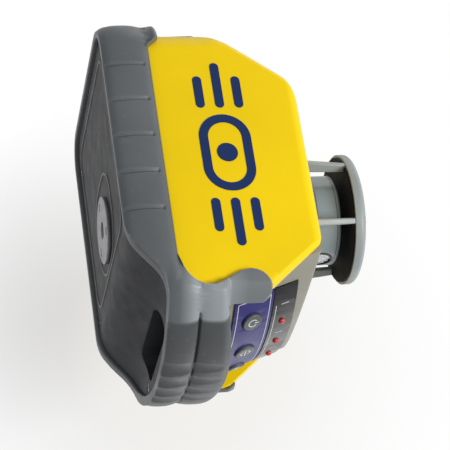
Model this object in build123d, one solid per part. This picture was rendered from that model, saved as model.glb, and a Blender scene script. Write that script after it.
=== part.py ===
"""Self-levelling rotary laser level.

Frame: origin on the tripod thread's axis at the standing plane, +Z up along the rotor's axis,
-Y the front (grip and keypad), +Y the rear (battery door), X across. Millimetres.
"""
from math import atan2, cos, degrees, hypot, radians, sin, sqrt, tan
import os

from build123d import *

os.makedirs("parts", exist_ok=True)

# Overall size
WIDTH = 198.0
LENGTH = 272.0
HEIGHT = 200.0

# Clearances
RUN = 0.05
SLIDE = 0.3
SEAT = 0.1

# Case under its rubber
RUBBER = 9.0
RIM_CORNER = 30.0
CASE_HX = WIDTH / 2 - RUBBER
CASE_HY = LENGTH / 2 - RUBBER
CASE_CORNER = RIM_CORNER - RUBBER
HEAD_H = 51.0
DECK_Z = HEIGHT - HEAD_H

# Rubber bumper
RIM_TOP = 36.0
BOW_R = 150.0
RIM_ROUND = 5.0
RIB_PITCH = 31.0
RIB_WIDTH = 2.6
RIB_DEPTH = 1.5
GRIP_UNDER = 26.0
GRIP_TOP = 71.0
GRIP_ROUND = 6.0
ROLL_TOP = 79.0
ROLL_R = 400.0
ROLL_END = 0.25
ROLL_HX = (WIDTH / 2 - RIM_CORNER) * BOW_R / (BOW_R - RIM_CORNER) - ROLL_END
ROLL_ROUND = 7.0
ROLL_GAP = 5.0
GROOVE_Z = 50.0
GROOVE_WIDTH = 2.6
GROOVE_DEPTH = 1.8
SCALLOP_R = 22.0
SCALLOP_DEPTH = 2.9
SCALLOP_PITCH = 18.0
SCALLOP_TILT = 2.0
STEM_SINK = 2.0
ARM_PROUD = 3.0
ARM_TOP_Z = 101.0
UNDER_RISE_Y = -45.0
UNDER_FLAT_Y = 21.0 - CASE_HY
REAR_CORNER_UP = 9.0

# Case
WALL = 3.0
PAN_WALL = 3.5
PAN_RAISE = 3.0
GASKET = 1.5
DECK_FRONT = -60.0
DECK_REAR = 78.0
DECK_ROUND = 30.0
NOSE_ROUND = 8.0
KNEE_Z = 84.0
KNEE_ROUND = 16.0
SLOPE_FOOT_Z = 69.0
SIDE_LEAN = 6.0
DECK_HOLE_R = 30.0
POCKET_X = 2 * (CASE_HX - 47.0)
POCKET_Y = 25.0
POCKET_MID_Y = 27.0 - CASE_HY
POCKET_TOP = 46.0
POCKET_WALL = 3.0
POCKET_CORNER = 9.0
SCREW_SIDE_X = CASE_HX - 7.2
SCREW_GRIP_BACK = 17.0
SCREW_GRIP_IN = 14.119
SCREW_GRIP_Y = SCREW_GRIP_BACK - CASE_HY
SCREW_GRIP_X = sqrt(SCREW_GRIP_BACK * (2 * (BOW_R - RUBBER) - SCREW_GRIP_BACK)) - SCREW_GRIP_IN
SCREW_REAR_Y = CASE_HY - 27.0
SCREW_MID_Y = -36.0
SCREW_XY = [(SCREW_SIDE_X, SCREW_MID_Y), (-SCREW_SIDE_X, SCREW_MID_Y), (SCREW_SIDE_X, SCREW_REAR_Y)]
SCREW_XY += [(-SCREW_SIDE_X, SCREW_REAR_Y), (SCREW_GRIP_X, SCREW_GRIP_Y), (-SCREW_GRIP_X, SCREW_GRIP_Y)]
SCREW_R = 2.0
SCREW_HEAD_R = 3.8
SCREW_HEAD_H = 2.2
SCREW_SLOT = 1.0
SCREW_IN = 0.4
SCREW_TIP_Z = 54.0
BOSS_R = 5.2

# Tripod insert for a 5/8 inch, 11 threads per inch stud (tap drill size)
THREAD_R = 6.75
THREAD_LENGTH = 16.0
INSERT_R = 12.0
INSERT_TOP = 20.0
INSERT_FLANGE_R = 26.0
INSERT_SCREW_PCR = 20.0
INSERT_SCREW_R = 1.6
INSERT_SCREW_L = 14.0
INSERT_HEAD_R = 3.2
INSERT_HEAD_Z = (0.6, 2.2)
INSERT_TURNS = (90, 210, 330)

# Keypad console, a bowed face on the surface of an upright cone
CONSOLE_HX = CASE_HX - 14.0
CONSOLE_T = 8.0
CONSOLE_TOP_R = 124.0
CONSOLE_FRONT = 35.0 - CASE_HY
CONSOLE_LEAN = 16.0
CONSOLE_SIDE = 3.0
CONSOLE_ROUND = 4.0
BROW_Y = DECK_FRONT - 2.0
BROW_LEAN = 22.0
LEDGE_Z = 66.0
LEDGE_T = 3.0
LEDGE_BACK = 20.0
CHEEK_T = 3.0
FILM_T = 1.2
PANEL_HX = CONSOLE_HX - 14.0
PANEL_TOP = LEDGE_Z + 0.54 * (DECK_Z - LEDGE_Z)
PANEL_Z = (LEDGE_Z + 14.0, PANEL_TOP)
WINDOW_Z = (PANEL_TOP + 1.0, DECK_Z - 19.0)
BUTTON_R = 8.0
BUTTON_TURN = 16.0
BUTTON_Z = (PANEL_Z[0] + PANEL_Z[1]) / 2
BUTTON_PROUD = 2.0
BUTTON_TRAVEL = 1.0
BUTTON_FLANGE = 1.5
BUTTON_SINK = 0.6
SWITCH_SINK = 5.0
SWITCH_R = 3.0
LAMP_R = 2.5
LAMP_TURN = 12.0
LAMP_Z = (WINDOW_Z[0] + WINDOW_Z[1]) / 2
BOARD_T = 1.6
FLEX_T = 1.0

# Lighthouse
RING_R = 56.0
RING_TOP_R = 54.5
RING_BORE_R = 45.0
RING_H = 7.0
POST_ANGLES = (60.0, 120.0, -60.0, -120.0)
POST_FOOT = (8.5, 5.5)
POST_HEAD = (6.5, 4.5)
POST_FOOT_R = 49.8
POST_HEAD_R = 47.2
CAP_R = 51.0
CAP_H = 12.0
CAP_EDGE = 4.5
LINER_R = CAP_R - 2.0
LINER_H = 1.8
CAP_SCREW_R = 1.3
CAP_HEAD_R = 2.6
CAP_HEAD_Z = 5.4
CAP_HEAD_H = 1.5
CAP_SCREW_IN = 8.0
SIGHT_W = 2.0
SIGHT_DEPTH = 2.2

# Battery bay
CELL_R = 16.6
CELL_LENGTH = 61.5
NUB_R = 4.75
NUB_H = 1.5
PLATE_T = 1.0
PLATE_HALF = 10.0
CELL_Y = CASE_HY - CELL_R - 7.0
TRAY_HX = 65.0
TRAY_WALL = 2.5
TRAY_FLOOR = 42.8
TRAY_HEIGHT = 33.4
CELL_Z = TRAY_FLOOR + CELL_R
CELL_TIP = TRAY_HX - PLATE_T
DOOR_T = 3.0
SEAL_T = 1.1
DOOR_OVERLAP = 4.0
DOOR_PIN_R = 1.0
DOOR_KNUCKLE_R = 2.2
DOOR_AXIS_Z = 40.5
KNUCKLE_HX = 50.0
LUG_W = 8.0
KNOB_R = 7.0
KNOB_H = 4.4
KNOB_FLUTE_R = 0.9
STUD_R = 2.5
STUD_Z = 80.8

# Gimbal and levelling drives
PIVOT_Z = DECK_Z - 27.0
PIVOT_BOSS_R = 7.0
GIMBAL_BORE_R = 24.0
GIMBAL_R = 30.0
GIMBAL_H = 8.0
PIVOT_R = 2.0
UPRIGHT_X = (34.0, 40.0)
UPRIGHT_W = 22.0
CHASSIS_Z = 24.0
CHASSIS_T = 4.0
CHASSIS_HX = 42.0
CHASSIS_Y = (-24.0, 58.0)
POST_HX = 36.0
POST_Y = (-18.0, 52.0)
NUT_X_AT = (0.0, 44.0)
NUT_Y_AT = (-40.0, -30.0)
NUT_R = 7.0
NUT_WAIST_R = 4.0
SLOT_R = NUT_WAIST_R + SLIDE + SEAT
SLOT_EXTRA = 1.2
NUT_GROOVE = 4.6
NUT_FLANGE = 2.2
SCREW_LEAD_R = 1.5
MOTOR_R = 8.0
MOTOR_H = 32.0
MOTOR_BELOW = 18.0
MOTOR_BLOCK = 11.0
SOCKET = 6.0
ARM_T = 3.0

# Laser barrel and rotor
BARREL_R = 14.0
BARREL_BORE_R = 10.0
BARREL_FOOT = PIVOT_Z - 69.0
LENS_BELOW = 30.0
LENS_T = 4.0
DIODE_T = 4.0
DIODE_IN = 12.0
VIAL_R = 4.0
VIAL_HL = 13.0
VIAL_BELOW = 38.0
COLLAR_R = 20.0
COLLAR_HALF = 8.0
NECK_R = 9.0
NECK_BORE_R = 6.5
NECK_TOP = DECK_Z + 6.0
BRACKET_T = 2.5
SPIN_MOTOR_AT = (33.0, -33.0)
SPIN_MOTOR_R = 9.0
SPIN_MOTOR_H = 30.0
SPIN_BOSS_R = 4.0
SPIN_SHAFT_R = 1.0
PULLEY_R = 20.0
PINION_R = 6.0
PULLEY_GAP = 0.7
PULLEY_H = 4.5
FLANGE_T = 0.6
FLANGE_OVER = 2.0
BELT_T = 1.2
BEARING_R = 13.0
BEARING_H = 5.0
HUB_R = 16.0
DRUM_R = 35.0
DRUM_Z = (DECK_Z + 10.0, DECK_Z + 32.0)
DRUM_WALL = 2.5
PRISM_A = 11.5
EXIT_R = 8.0
PRISM_FOOT = DRUM_Z[0] + DRUM_WALL
PRISM_MID = PRISM_FOOT + PRISM_A / 2

# Boards and printed labels
MAIN_BOARD_X = CASE_HX - 18.0
MAIN_BOARD_Y = (-50.0, 58.0)
MAIN_BOARD_Z = (46.0, DECK_Z - 39.0)
STANDOFF_R = 3.0
STANDOFF_IN = 7.0
LABEL_Y = 14.0
LABEL_Z = 86.0
LABEL_T = 0.4
VIAL_MARK = (66.0, 40.0)
VIAL_MARK_W = 7.0
BUBBLE_MARK_R = 8.0
BEAM_MARK_W = 7.0
BEAM_MARK_GAP = 6.0
BEAM_MARK_PITCH = 15.0
BEAM_MARKS = ((-1, 28.0), (0, 40.0), (1, 28.0))

# Derived levels
PAN_TOP = RIM_TOP - GASKET
CAP_Z = HEIGHT - CAP_H
ARM_INNER_X = CONSOLE_HX + 1.0
RING_TOP = DECK_Z + RING_H
BRACKET_Z = PIVOT_Z + COLLAR_HALF
PULLEY_Z = BRACKET_Z + BRACKET_T + PULLEY_GAP
SLOPE_RUN = (CASE_HY + DECK_FRONT) / (DECK_Z - SLOPE_FOOT_Z)
SLOPE_LEN = hypot(CASE_HY + DECK_FRONT, DECK_Z - SLOPE_FOOT_Z)
SLOPE_NY = -(DECK_Z - SLOPE_FOOT_Z) / SLOPE_LEN
SLOPE_NZ = (CASE_HY + DECK_FRONT) / SLOPE_LEN
CONSOLE_AXIS_Y = CONSOLE_FRONT + CONSOLE_TOP_R
CONSOLE_BACK = DECK_FRONT + 3.0
BOW_Y = BOW_R - LENGTH / 2
DOOR_FACE = CASE_HY + SEAL_T + SEAT
DOOR_AXIS_Y = DOOR_FACE + DOOR_T / 2
BIG = 2 * LENGTH


def near(shape, x, y):
    """The vertex of a flat shape nearest to a point."""
    return shape.vertices().sort_by_distance((x, y, 0))[0]


def tube(r_out, r_in, z0, z1):
    """Hollow cylinder about Z."""
    return Pos(0, 0, z0) * extrude(Circle(r_out) - Circle(r_in), z1 - z0)


def rod(r, z0, z1, at=(0.0, 0.0)):
    """Cylinder along Z."""
    return Pos(at[0], at[1], z0) * extrude(Circle(r), z1 - z0)


def rod_x(r, x0, x1, y, z):
    """Cylinder along X."""
    return Pos(x0, y, z) * Rot(0, 90, 0) * extrude(Circle(r), x1 - x0)


def rod_y(r, y0, y1, x, z):
    """Cylinder along Y."""
    return Pos(x, y0, z) * Rot(-90, 0, 0) * extrude(Circle(r), y1 - y0)


def block(x, y, z):
    """Box between limits given as pairs."""
    size = Box(x[1] - x[0], y[1] - y[0], z[1] - z[0])
    return Pos((x[0] + x[1]) / 2, (y[0] + y[1]) / 2, (z[0] + z[1]) / 2) * size


def both_sides(shape):
    """A shape and its mirror image across X = 0."""
    return shape + mirror(shape, Plane.YZ)


def save(shape, node):
    """Write one node."""
    export_step(shape, f"parts/{node}.step")


def half_width(z):
    """Half width of the leaning case side at a height."""
    return CASE_HX - (z - RIM_TOP) * SIDE_LEAN / (DECK_Z - RIM_TOP)


def slope_y(z):
    """Y of the keypad slope at a height."""
    return DECK_FRONT - (DECK_Z - z) * SLOPE_RUN


def plan(grow=0.0):
    """Case outline seen from above, with a bowed front; grown by the rubber it is the rim's."""
    hx = CASE_HX + grow
    rear = CASE_HY + grow
    radius = BOW_R - RUBBER + grow
    shoulder = BOW_Y - sqrt(radius**2 - hx**2)
    sides = Polyline((hx, shoulder), (hx, rear), (-hx, rear), (-hx, shoulder))
    bow = ThreePointArc((-hx, shoulder), (0, BOW_Y - radius), (hx, shoulder))
    face = make_face([sides, bow])
    return fillet(face.vertices(), CASE_CORNER + grow)


def side_face():
    """Case outline seen from the side, drawn as Y and Z."""
    corners = [(CASE_HY, 0), (CASE_HY, KNEE_Z), (DECK_REAR, DECK_Z), (DECK_FRONT, DECK_Z)]
    corners += [(-CASE_HY, SLOPE_FOOT_Z), (-CASE_HY, 0)]
    face = make_face(Polyline(*corners, close=True))
    face = fillet(near(face, CASE_HY, KNEE_Z), KNEE_ROUND)
    face = fillet(near(face, DECK_REAR, DECK_Z), DECK_ROUND)
    return fillet(near(face, DECK_FRONT, DECK_Z), NOSE_ROUND)


def section_face():
    """Case outline seen from the front, drawn as X and Z."""
    foot = half_width(0)
    head = half_width(DECK_Z)
    face = make_face(Polyline((-foot, 0), (foot, 0), (head, DECK_Z), (-head, DECK_Z), close=True))
    return fillet([near(face, head, DECK_Z), near(face, -head, DECK_Z)], 9)


def case_solid(inset=0.0):
    """Solid of the case's outer shape, moved in or out by a distance."""
    side = side_face()
    section = section_face()
    if inset:
        side = offset(side, -inset)
        section = offset(section, -inset)
    body = extrude(Plane.YZ * side, BIG, both=True)
    body = body & extrude(Plane.XZ * section, BIG, both=True)
    return body & extrude(Pos(0, 0, -BIG / 2) * plan(-inset), BIG)


def below_under(raise_by):
    """Everything under the case's underside, which rises to the grip at the front."""
    flat = Polyline((UNDER_RISE_Y, raise_by), (BIG, raise_by), (BIG, -BIG), (-BIG, -BIG))
    lead = Polyline((-BIG, -BIG), (-BIG, GRIP_UNDER + raise_by), (UNDER_FLAT_Y, GRIP_UNDER + raise_by))
    mid = ((UNDER_RISE_Y + UNDER_FLAT_Y) / 2, raise_by + GRIP_UNDER / 2)
    rise = Spline(
        (UNDER_FLAT_Y, GRIP_UNDER + raise_by), mid, (UNDER_RISE_Y, raise_by), tangents=[(1, 0), (1, 0)]
    )
    return extrude(Plane.YZ * make_face([flat, lead, rise]), BIG, both=True)


def above(z):
    """Half space over a height."""
    return block((-BIG, BIG), (-BIG, BIG), (z, BIG))


def cone_radius(z):
    """Radius of the console's face about its upright axis."""
    return CONSOLE_TOP_R + (DECK_Z - z) * tan(radians(CONSOLE_LEAN))


def cone(grow=0.0):
    """Everything behind the console's face, moved square to it by a distance."""
    extra = grow / cos(radians(CONSOLE_LEAN))
    low = RIM_TOP
    high = DECK_Z + 20
    body = Cone(cone_radius(low) + extra, cone_radius(high) + extra, high - low)
    return Pos(0, CONSOLE_AXIS_Y, (low + high) / 2) * body


def console_film(grow0, grow1, hx, z):
    """Curved sheet on the console's face between two offsets."""
    return (cone(grow1) - cone(grow0)) & block((-hx, hx), (-BIG, 0), z)


def on_console(turn, z):
    """Frame square to the console's face, turned about its axis from the front."""
    t = radians(turn)
    lean = radians(CONSOLE_LEAN)
    r = cone_radius(z)
    at = (r * sin(t), CONSOLE_AXIS_Y - r * cos(t), z)
    normal = (cos(lean) * sin(t), -cos(lean) * cos(t), sin(lean))
    return Plane(origin=at, x_dir=(cos(t), sin(t), 0), z_dir=normal)


def console_rod(r, turn, z, low, high):
    """Cylinder square to the console's face."""
    return on_console(turn, z) * (Pos(0, 0, low) * extrude(Circle(r), high - low))


CONSOLE_ROOM = block((-CONSOLE_HX, CONSOLE_HX), (-BIG, CONSOLE_BACK), (LEDGE_Z, BIG))
CASE = (case_solid() & above(RIM_TOP)) - CONSOLE_ROOM


def base_pan():
    shape = extrude(plan(), PAN_TOP) - below_under(PAN_RAISE)
    shape -= extrude(plan(-PAN_WALL), PAN_TOP + 1) - below_under(PAN_RAISE + PAN_WALL)
    room = extrude(plan(-PAN_WALL / 2), PAN_TOP) - below_under(PAN_RAISE)
    for x, y in SCREW_XY:
        shape += rod(BOSS_R, 0, PAN_TOP, (x, y)) & room
    for y in POST_Y:
        shape += both_sides(rod(BOSS_R, PAN_RAISE, CHASSIS_Z, (POST_HX, y)))
    shape += rod(INSERT_FLANGE_R - 1, PAN_RAISE, INSERT_TOP)
    wall = POCKET_WALL
    shell = RectangleRounded(POCKET_X + 2 * wall, POCKET_Y + 2 * wall, POCKET_CORNER + wall)
    shell = extrude(Pos(0, POCKET_MID_Y) * shell, POCKET_TOP + POCKET_WALL)
    shape += shell - below_under(PAN_RAISE + PAN_WALL / 2)
    pocket = RectangleRounded(POCKET_X, POCKET_Y, POCKET_CORNER)
    shape -= extrude(Pos(0, POCKET_MID_Y) * pocket, POCKET_TOP)
    shape -= rod(INSERT_R, 0, INSERT_TOP)
    shape -= insert_screw_shapes()
    for cutter in housing_screw_cutters():
        shape -= cutter
    return shape


def screw_foot(y):
    """Height of the underside at a screw."""
    return PAN_RAISE + (GRIP_UNDER if y < UNDER_FLAT_Y else 0.0)


def housing_screw(x, y):
    foot = screw_foot(y)
    neck = foot + SCREW_IN + SCREW_HEAD_H
    head = rod(SCREW_HEAD_R, foot + SCREW_IN, neck, (x, y))
    reach = SCREW_HEAD_R - SCREW_SLOT
    depth = (foot, foot + SCREW_IN + SCREW_SLOT)
    half = SCREW_SLOT / 2
    slot = block((x - reach, x + reach), (y - half, y + half), depth)
    cross = block((x - half, x + half), (y - reach, y + reach), depth)
    return head + rod(SCREW_R, neck, SCREW_TIP_Z, (x, y)) - slot - cross


def housing_screw_cutters():
    cutters = []
    for x, y in SCREW_XY:
        foot = screw_foot(y)
        cutters.append(rod(SCREW_HEAD_R, foot - 1, foot + SCREW_IN + SCREW_HEAD_H, (x, y)))
        cutters.append(rod(SCREW_R, foot, SCREW_TIP_Z, (x, y)))
    return cutters


def insert_screw_shapes():
    shape = None
    low, neck = INSERT_HEAD_Z
    for turn in INSERT_TURNS:
        at = (INSERT_SCREW_PCR * cos(radians(turn)), INSERT_SCREW_PCR * sin(radians(turn)))
        screw = rod(INSERT_HEAD_R, low, neck, at) + rod(INSERT_SCREW_R, neck, INSERT_SCREW_L, at)
        shape = screw if shape is None else shape + screw
    return shape


def tripod_insert():
    shape = rod(INSERT_FLANGE_R, 0, PAN_RAISE) + rod(INSERT_R, PAN_RAISE, INSERT_TOP)
    shape -= rod(THREAD_R, 0, THREAD_LENGTH)
    shape -= insert_screw_shapes()
    for turn in INSERT_TURNS:
        at = (INSERT_SCREW_PCR * cos(radians(turn)), INSERT_SCREW_PCR * sin(radians(turn)))
        shape -= rod(INSERT_HEAD_R, 0, INSERT_HEAD_Z[0], at)
    return shape


def upper_housing():
    shape = CASE - case_solid(WALL)
    cheek = block((CONSOLE_HX, CONSOLE_HX + CHEEK_T), (-BIG, CONSOLE_BACK), (LEDGE_Z - LEDGE_T, DECK_Z))
    ledge = block((-CONSOLE_HX, CONSOLE_HX), (-BIG, CONSOLE_FRONT + LEDGE_BACK), (LEDGE_Z - LEDGE_T, LEDGE_Z))
    shape += (both_sides(cheek) + ledge) & CASE
    for x, y in SCREW_XY:
        shape += rod(BOSS_R, RIM_TOP, LEDGE_Z - 1, (x, y)) & CASE
    for y in (MAIN_BOARD_Y[0] + STANDOFF_IN, MAIN_BOARD_Y[1] - STANDOFF_IN):
        for z in (MAIN_BOARD_Z[0] + STANDOFF_IN, MAIN_BOARD_Z[1] - STANDOFF_IN):
            shape += rod_x(STANDOFF_R, MAIN_BOARD_X + BOARD_T, half_width(z) - WALL / 3, y, z)
    shape -= rod(DECK_HOLE_R, DECK_Z - 12, DECK_Z + 5)
    door = block((-TRAY_HX, TRAY_HX), (CASE_HY - 8, CASE_HY + 8), (TRAY_FLOOR, TRAY_FLOOR + TRAY_HEIGHT))
    shape -= door
    shape -= rod_y(STUD_R + 2 * SLIDE, CASE_HY - 8, CASE_HY + 8, 0, STUD_Z)
    lug = rod_x(DOOR_KNUCKLE_R, KNUCKLE_HX + SLIDE, KNUCKLE_HX + LUG_W, DOOR_AXIS_Y, DOOR_AXIS_Z)
    lug_x = (KNUCKLE_HX + SLIDE, KNUCKLE_HX + LUG_W)
    lug_z = (DOOR_AXIS_Z - DOOR_KNUCKLE_R, DOOR_AXIS_Z + DOOR_KNUCKLE_R)
    lug += block(lug_x, (CASE_HY - 1, DOOR_AXIS_Y), lug_z)
    shape += both_sides(lug)
    shape -= door_hinge_pin()
    for x, y in SCREW_XY:
        shape -= rod(SCREW_R, RIM_TOP - 1, SCREW_TIP_Z, (x, y))
    return shape


def fork_face():
    """Side view of the grip's stem and upper arm, drawn as Y and Z."""
    tip = (slope_y(ARM_TOP_Z) + ARM_PROUD * SLOPE_NY, ARM_TOP_Z + ARM_PROUD * SLOPE_NZ)
    foot = (slope_y(GRIP_TOP - 8) + ARM_PROUD * SLOPE_NY, GRIP_TOP - 8 + ARM_PROUD * SLOPE_NZ)
    front = -CASE_HY
    rear = [(front + 63, RIM_TOP - 4), (front + 49, RIM_TOP + 1.5), (front + 37, RIM_TOP + 7)]
    rear += [(front + 30, LEDGE_Z - 13), (front + 30.5, LEDGE_Z - 3), (front + 35.5, LEDGE_Z + 6)]
    for z, behind in ((LEDGE_Z + 16, 30.0), (LEDGE_Z + 25, 23.8), (LEDGE_Z + 33, 12.9)):
        rear.append((slope_y(z) + behind, z))
    edge = Spline(*rear, tip)
    lead = Polyline(tip, foot, (-BIG, GRIP_TOP - 12), (-BIG, -10), (rear[0][0], -10), rear[0])
    return make_face([edge, lead])


def grip_roll():
    """Rounded roll over the grip, lower towards its ends, with a valley before the console."""
    roll = Pos(0, 0, RIM_TOP) * extrude(plan(RUBBER), BIG)
    roll = roll & block((-ROLL_HX, ROLL_HX), (-BIG, CONSOLE_FRONT), (LEDGE_Z - 4, BIG))
    roll = roll & rod_y(ROLL_R, -BIG, BIG, 0, ROLL_TOP - ROLL_R)
    edge = roll.edges().group_by(Axis.Y)[0].sort_by(Axis.Z)[-1]
    roll = fillet(edge, ROLL_ROUND)
    return roll - (cone(ROLL_GAP) & above(GRIP_TOP))


def rubber_bumper():
    outline = plan(RUBBER)
    rim = extrude(outline, RIM_TOP)
    rim = fillet(rim.edges().group_by(Axis.Z)[-1], RIM_ROUND)
    rim = fillet(rim.edges().group_by(Axis.Z)[0], RIM_ROUND)
    fork = extrude(Plane.YZ * fork_face(), BIG, both=True)
    stem = Pos(0, 0, GRIP_UNDER - 6) * extrude(outline, GRIP_TOP - GRIP_UNDER + 6)
    stem = fillet(stem.edges().group_by(Axis.Z)[-1], GRIP_ROUND)
    foot = WIDTH / 2 - STEM_SINK
    head = half_width(GRIP_TOP) + ARM_PROUD + 1
    lean = [(-foot, 0), (foot, 0), (foot, RIM_TOP - 6), (head, GRIP_TOP), (-head, GRIP_TOP)]
    lean += [(-foot, RIM_TOP - 6)]
    stem = stem & extrude(Plane.XZ * make_face(Polyline(*lean, close=True)), BIG, both=True)
    arms = case_solid(-ARM_PROUD) & above(GRIP_TOP - 16)
    arms -= block((-ARM_INNER_X, ARM_INNER_X), (-BIG, BIG), (0, BIG))
    low = RIM_TOP - RIM_ROUND - 1
    high = RIM_TOP + REAR_CORNER_UP
    rear_side = [(CASE_HY - 27, low), (CASE_HY - 13, high), (BIG, high), (BIG, low)]
    rear_front = [(CASE_HX - 18, low), (CASE_HX - 8, high), (BIG, high), (BIG, low)]
    corner = extrude(outline, high)
    corner = fillet(corner.edges().group_by(Axis.Z)[-1], RIM_ROUND)
    corner = corner & extrude(Plane.YZ * make_face(Polyline(*rear_side, close=True)), BIG, both=True)
    corner = corner & extrude(Plane.XZ * make_face(Polyline(*rear_front, close=True)), BIG, both=True)
    shape = rim + (stem & fork) + grip_roll() + (arms & fork) + both_sides(corner)
    shape -= below_under(0)
    shape -= extrude(plan(), RIM_TOP)
    shape -= CASE
    shape -= CONSOLE_ROOM & cone(SEAT)
    for k in range(-1, 5):
        y = -RIB_PITCH / 6 + k * RIB_PITCH
        cut = block((WIDTH / 2 - RIB_DEPTH, WIDTH), (y - RIB_WIDTH / 2, y + RIB_WIDTH / 2), (-1, RIM_TOP - 4))
        shape -= both_sides(cut)
    for k in range(-2, 3):
        x = k * RIB_PITCH
        width = (x - RIB_WIDTH / 2, x + RIB_WIDTH / 2)
        shape -= block(width, (LENGTH / 2 - RIB_DEPTH, LENGTH), (-1, RIM_TOP - 4))
    reach = BOW_R + SCALLOP_R - SCALLOP_DEPTH
    for k in (-1.5, -0.5, 0.5, 1.5):
        turn = k * SCALLOP_PITCH / BOW_R
        at = Pos(reach * sin(turn), BOW_Y - reach * cos(turn))
        shape -= at * Rot(SCALLOP_TILT, 0, 0) * rod(SCALLOP_R, -1, ROLL_TOP + 4)
    groove = tube(BOW_R + 9, BOW_R - GROOVE_DEPTH, GROOVE_Z - GROOVE_WIDTH / 2, GROOVE_Z + GROOVE_WIDTH / 2)
    half = 2.5 * RIB_PITCH
    shape -= (Pos(0, BOW_Y, 0) * groove) & block((-half, half), (-BIG, 0), (0, BIG))
    return shape


def housing_gasket():
    shape = Pos(0, 0, PAN_TOP) * extrude(plan() - plan(-WALL), GASKET)
    for x, y in SCREW_XY:
        shape -= rod(SCREW_R, 0, SCREW_TIP_Z, (x, y))
    return shape


def brow(drop):
    """Everything over the console's sloping top, moved down by a distance."""
    top = DECK_Z - drop
    low = top - (BROW_Y + BIG) * tan(radians(BROW_LEAN))
    face = make_face(Polyline((BROW_Y, top), (BROW_Y, BIG), (-BIG, BIG), (-BIG, low), close=True))
    return extrude(Plane.YZ * face, BIG, both=True)


def keypad_console():
    room = CONSOLE_ROOM - above(DECK_Z)
    shape = (room & cone()) - brow(0)
    slopes = [face for face in shape.faces() if -0.6 < face.normal_at().Y < -0.2 and face.normal_at().Z > 0.5]
    shape = fillet(slopes[0].edges().sort_by(Axis.Y)[0], CONSOLE_ROUND)
    hx = CONSOLE_HX - CONSOLE_SIDE
    hollow = block((-hx, hx), (-BIG, CONSOLE_BACK + 1), (LEDGE_Z - 1, DECK_Z - CONSOLE_SIDE))
    shape -= (hollow & cone(-CONSOLE_T)) - brow(CONSOLE_SIDE)
    for k in (-1, 0, 1):
        shape -= console_rod(BUTTON_R + BUTTON_FLANGE + 0.5, k * BUTTON_TURN, BUTTON_Z, -2 * CONSOLE_T, 1)
        shape -= console_rod(LAMP_R, k * LAMP_TURN, LAMP_Z, -2 * CONSOLE_T, 1)
    return shape


def keypad_panel():
    shape = console_film(SEAT, SEAT + FILM_T, PANEL_HX, PANEL_Z)
    for k in (-1, 0, 1):
        shape -= console_rod(BUTTON_R + SLIDE, k * BUTTON_TURN, BUTTON_Z, -2, 4)
    return shape


def indicator_window():
    shape = console_film(SEAT, SEAT + FILM_T, PANEL_HX, WINDOW_Z)
    for k in (-1, 0, 1):
        shape -= console_rod(LAMP_R, k * LAMP_TURN, LAMP_Z, -2, 4)
    return shape


def indicator_lamp(k):
    lamp = console_rod(LAMP_R, k * LAMP_TURN, LAMP_Z, -CONSOLE_T + 0.2, FILM_T)
    return lamp + on_console(k * LAMP_TURN, LAMP_Z) * (Pos(0, 0, FILM_T) * Sphere(LAMP_R * 0.98))


def keypad_board():
    back = -CONSOLE_T - SEAT
    shape = console_film(back - FLEX_T, back, PANEL_HX + 4, (PANEL_Z[0] - 4, WINDOW_Z[1] - 2))
    for k in (-1, 0, 1):
        shape += console_rod(SWITCH_R, k * BUTTON_TURN, BUTTON_Z, back - FLEX_T / 2, -SWITCH_SINK)
    return shape


def button(k):
    turn = k * BUTTON_TURN
    cap = console_rod(BUTTON_R, turn, BUTTON_Z, -BUTTON_SINK, FILM_T + BUTTON_PROUD)
    cap = chamfer(cap.edges().sort_by(Axis((0, 0, 0), on_console(turn, BUTTON_Z).z_dir))[-1], 0.8)
    cap += console_rod(BUTTON_R + BUTTON_FLANGE, turn, BUTTON_Z, -BUTTON_SINK - 1.5, -BUTTON_SINK)
    return cap + console_rod(SWITCH_R, turn, BUTTON_Z, -SWITCH_SINK + BUTTON_TRAVEL + SEAT, -BUTTON_SINK)


def lighthouse_ring():
    shape = Pos(0, 0, DECK_Z + RING_H / 2) * Cone(RING_R, RING_TOP_R, RING_H)
    shape = fillet(shape.edges().group_by(Axis.Z)[-1], 1.5)
    return shape - rod(RING_BORE_R, DECK_Z - 1, RING_TOP + 1)


def post(angle):
    turn = radians(angle)
    radial = (sin(turn), -cos(turn), 0)
    faces = []
    for r, z, size in ((POST_FOOT_R, RING_TOP, POST_FOOT), (POST_HEAD_R, CAP_Z, POST_HEAD)):
        at = Plane(origin=(r * radial[0], r * radial[1], z), x_dir=radial, z_dir=(0, 0, 1))
        faces.append(at * RectangleRounded(size[0], size[1], 1.2))
    return loft(faces)


def cap_liner():
    shape = rod(LINER_R, CAP_Z - LINER_H, CAP_Z)
    half = POST_HEAD[1] / 2 + 2 * SLIDE
    reach = POST_HEAD_R - POST_HEAD[0] / 2 - 2 * SLIDE
    for angle in POST_ANGLES:
        shape -= Rot(0, 0, angle) * block((-half, half), (-CAP_R, -reach), (CAP_Z - LINER_H, CAP_Z))
    return shape


def cap_screw(angle):
    turn = radians(angle)
    at = (POST_HEAD_R * sin(turn), -POST_HEAD_R * cos(turn))
    neck = CAP_Z + CAP_HEAD_Z
    return rod(CAP_HEAD_R, neck, neck + CAP_HEAD_H, at) + rod(CAP_SCREW_R, CAP_Z - CAP_SCREW_IN, neck, at)


def group(make, items):
    """Several like pieces as one node."""
    return Compound(children=[make(*item) for item in items])


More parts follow.
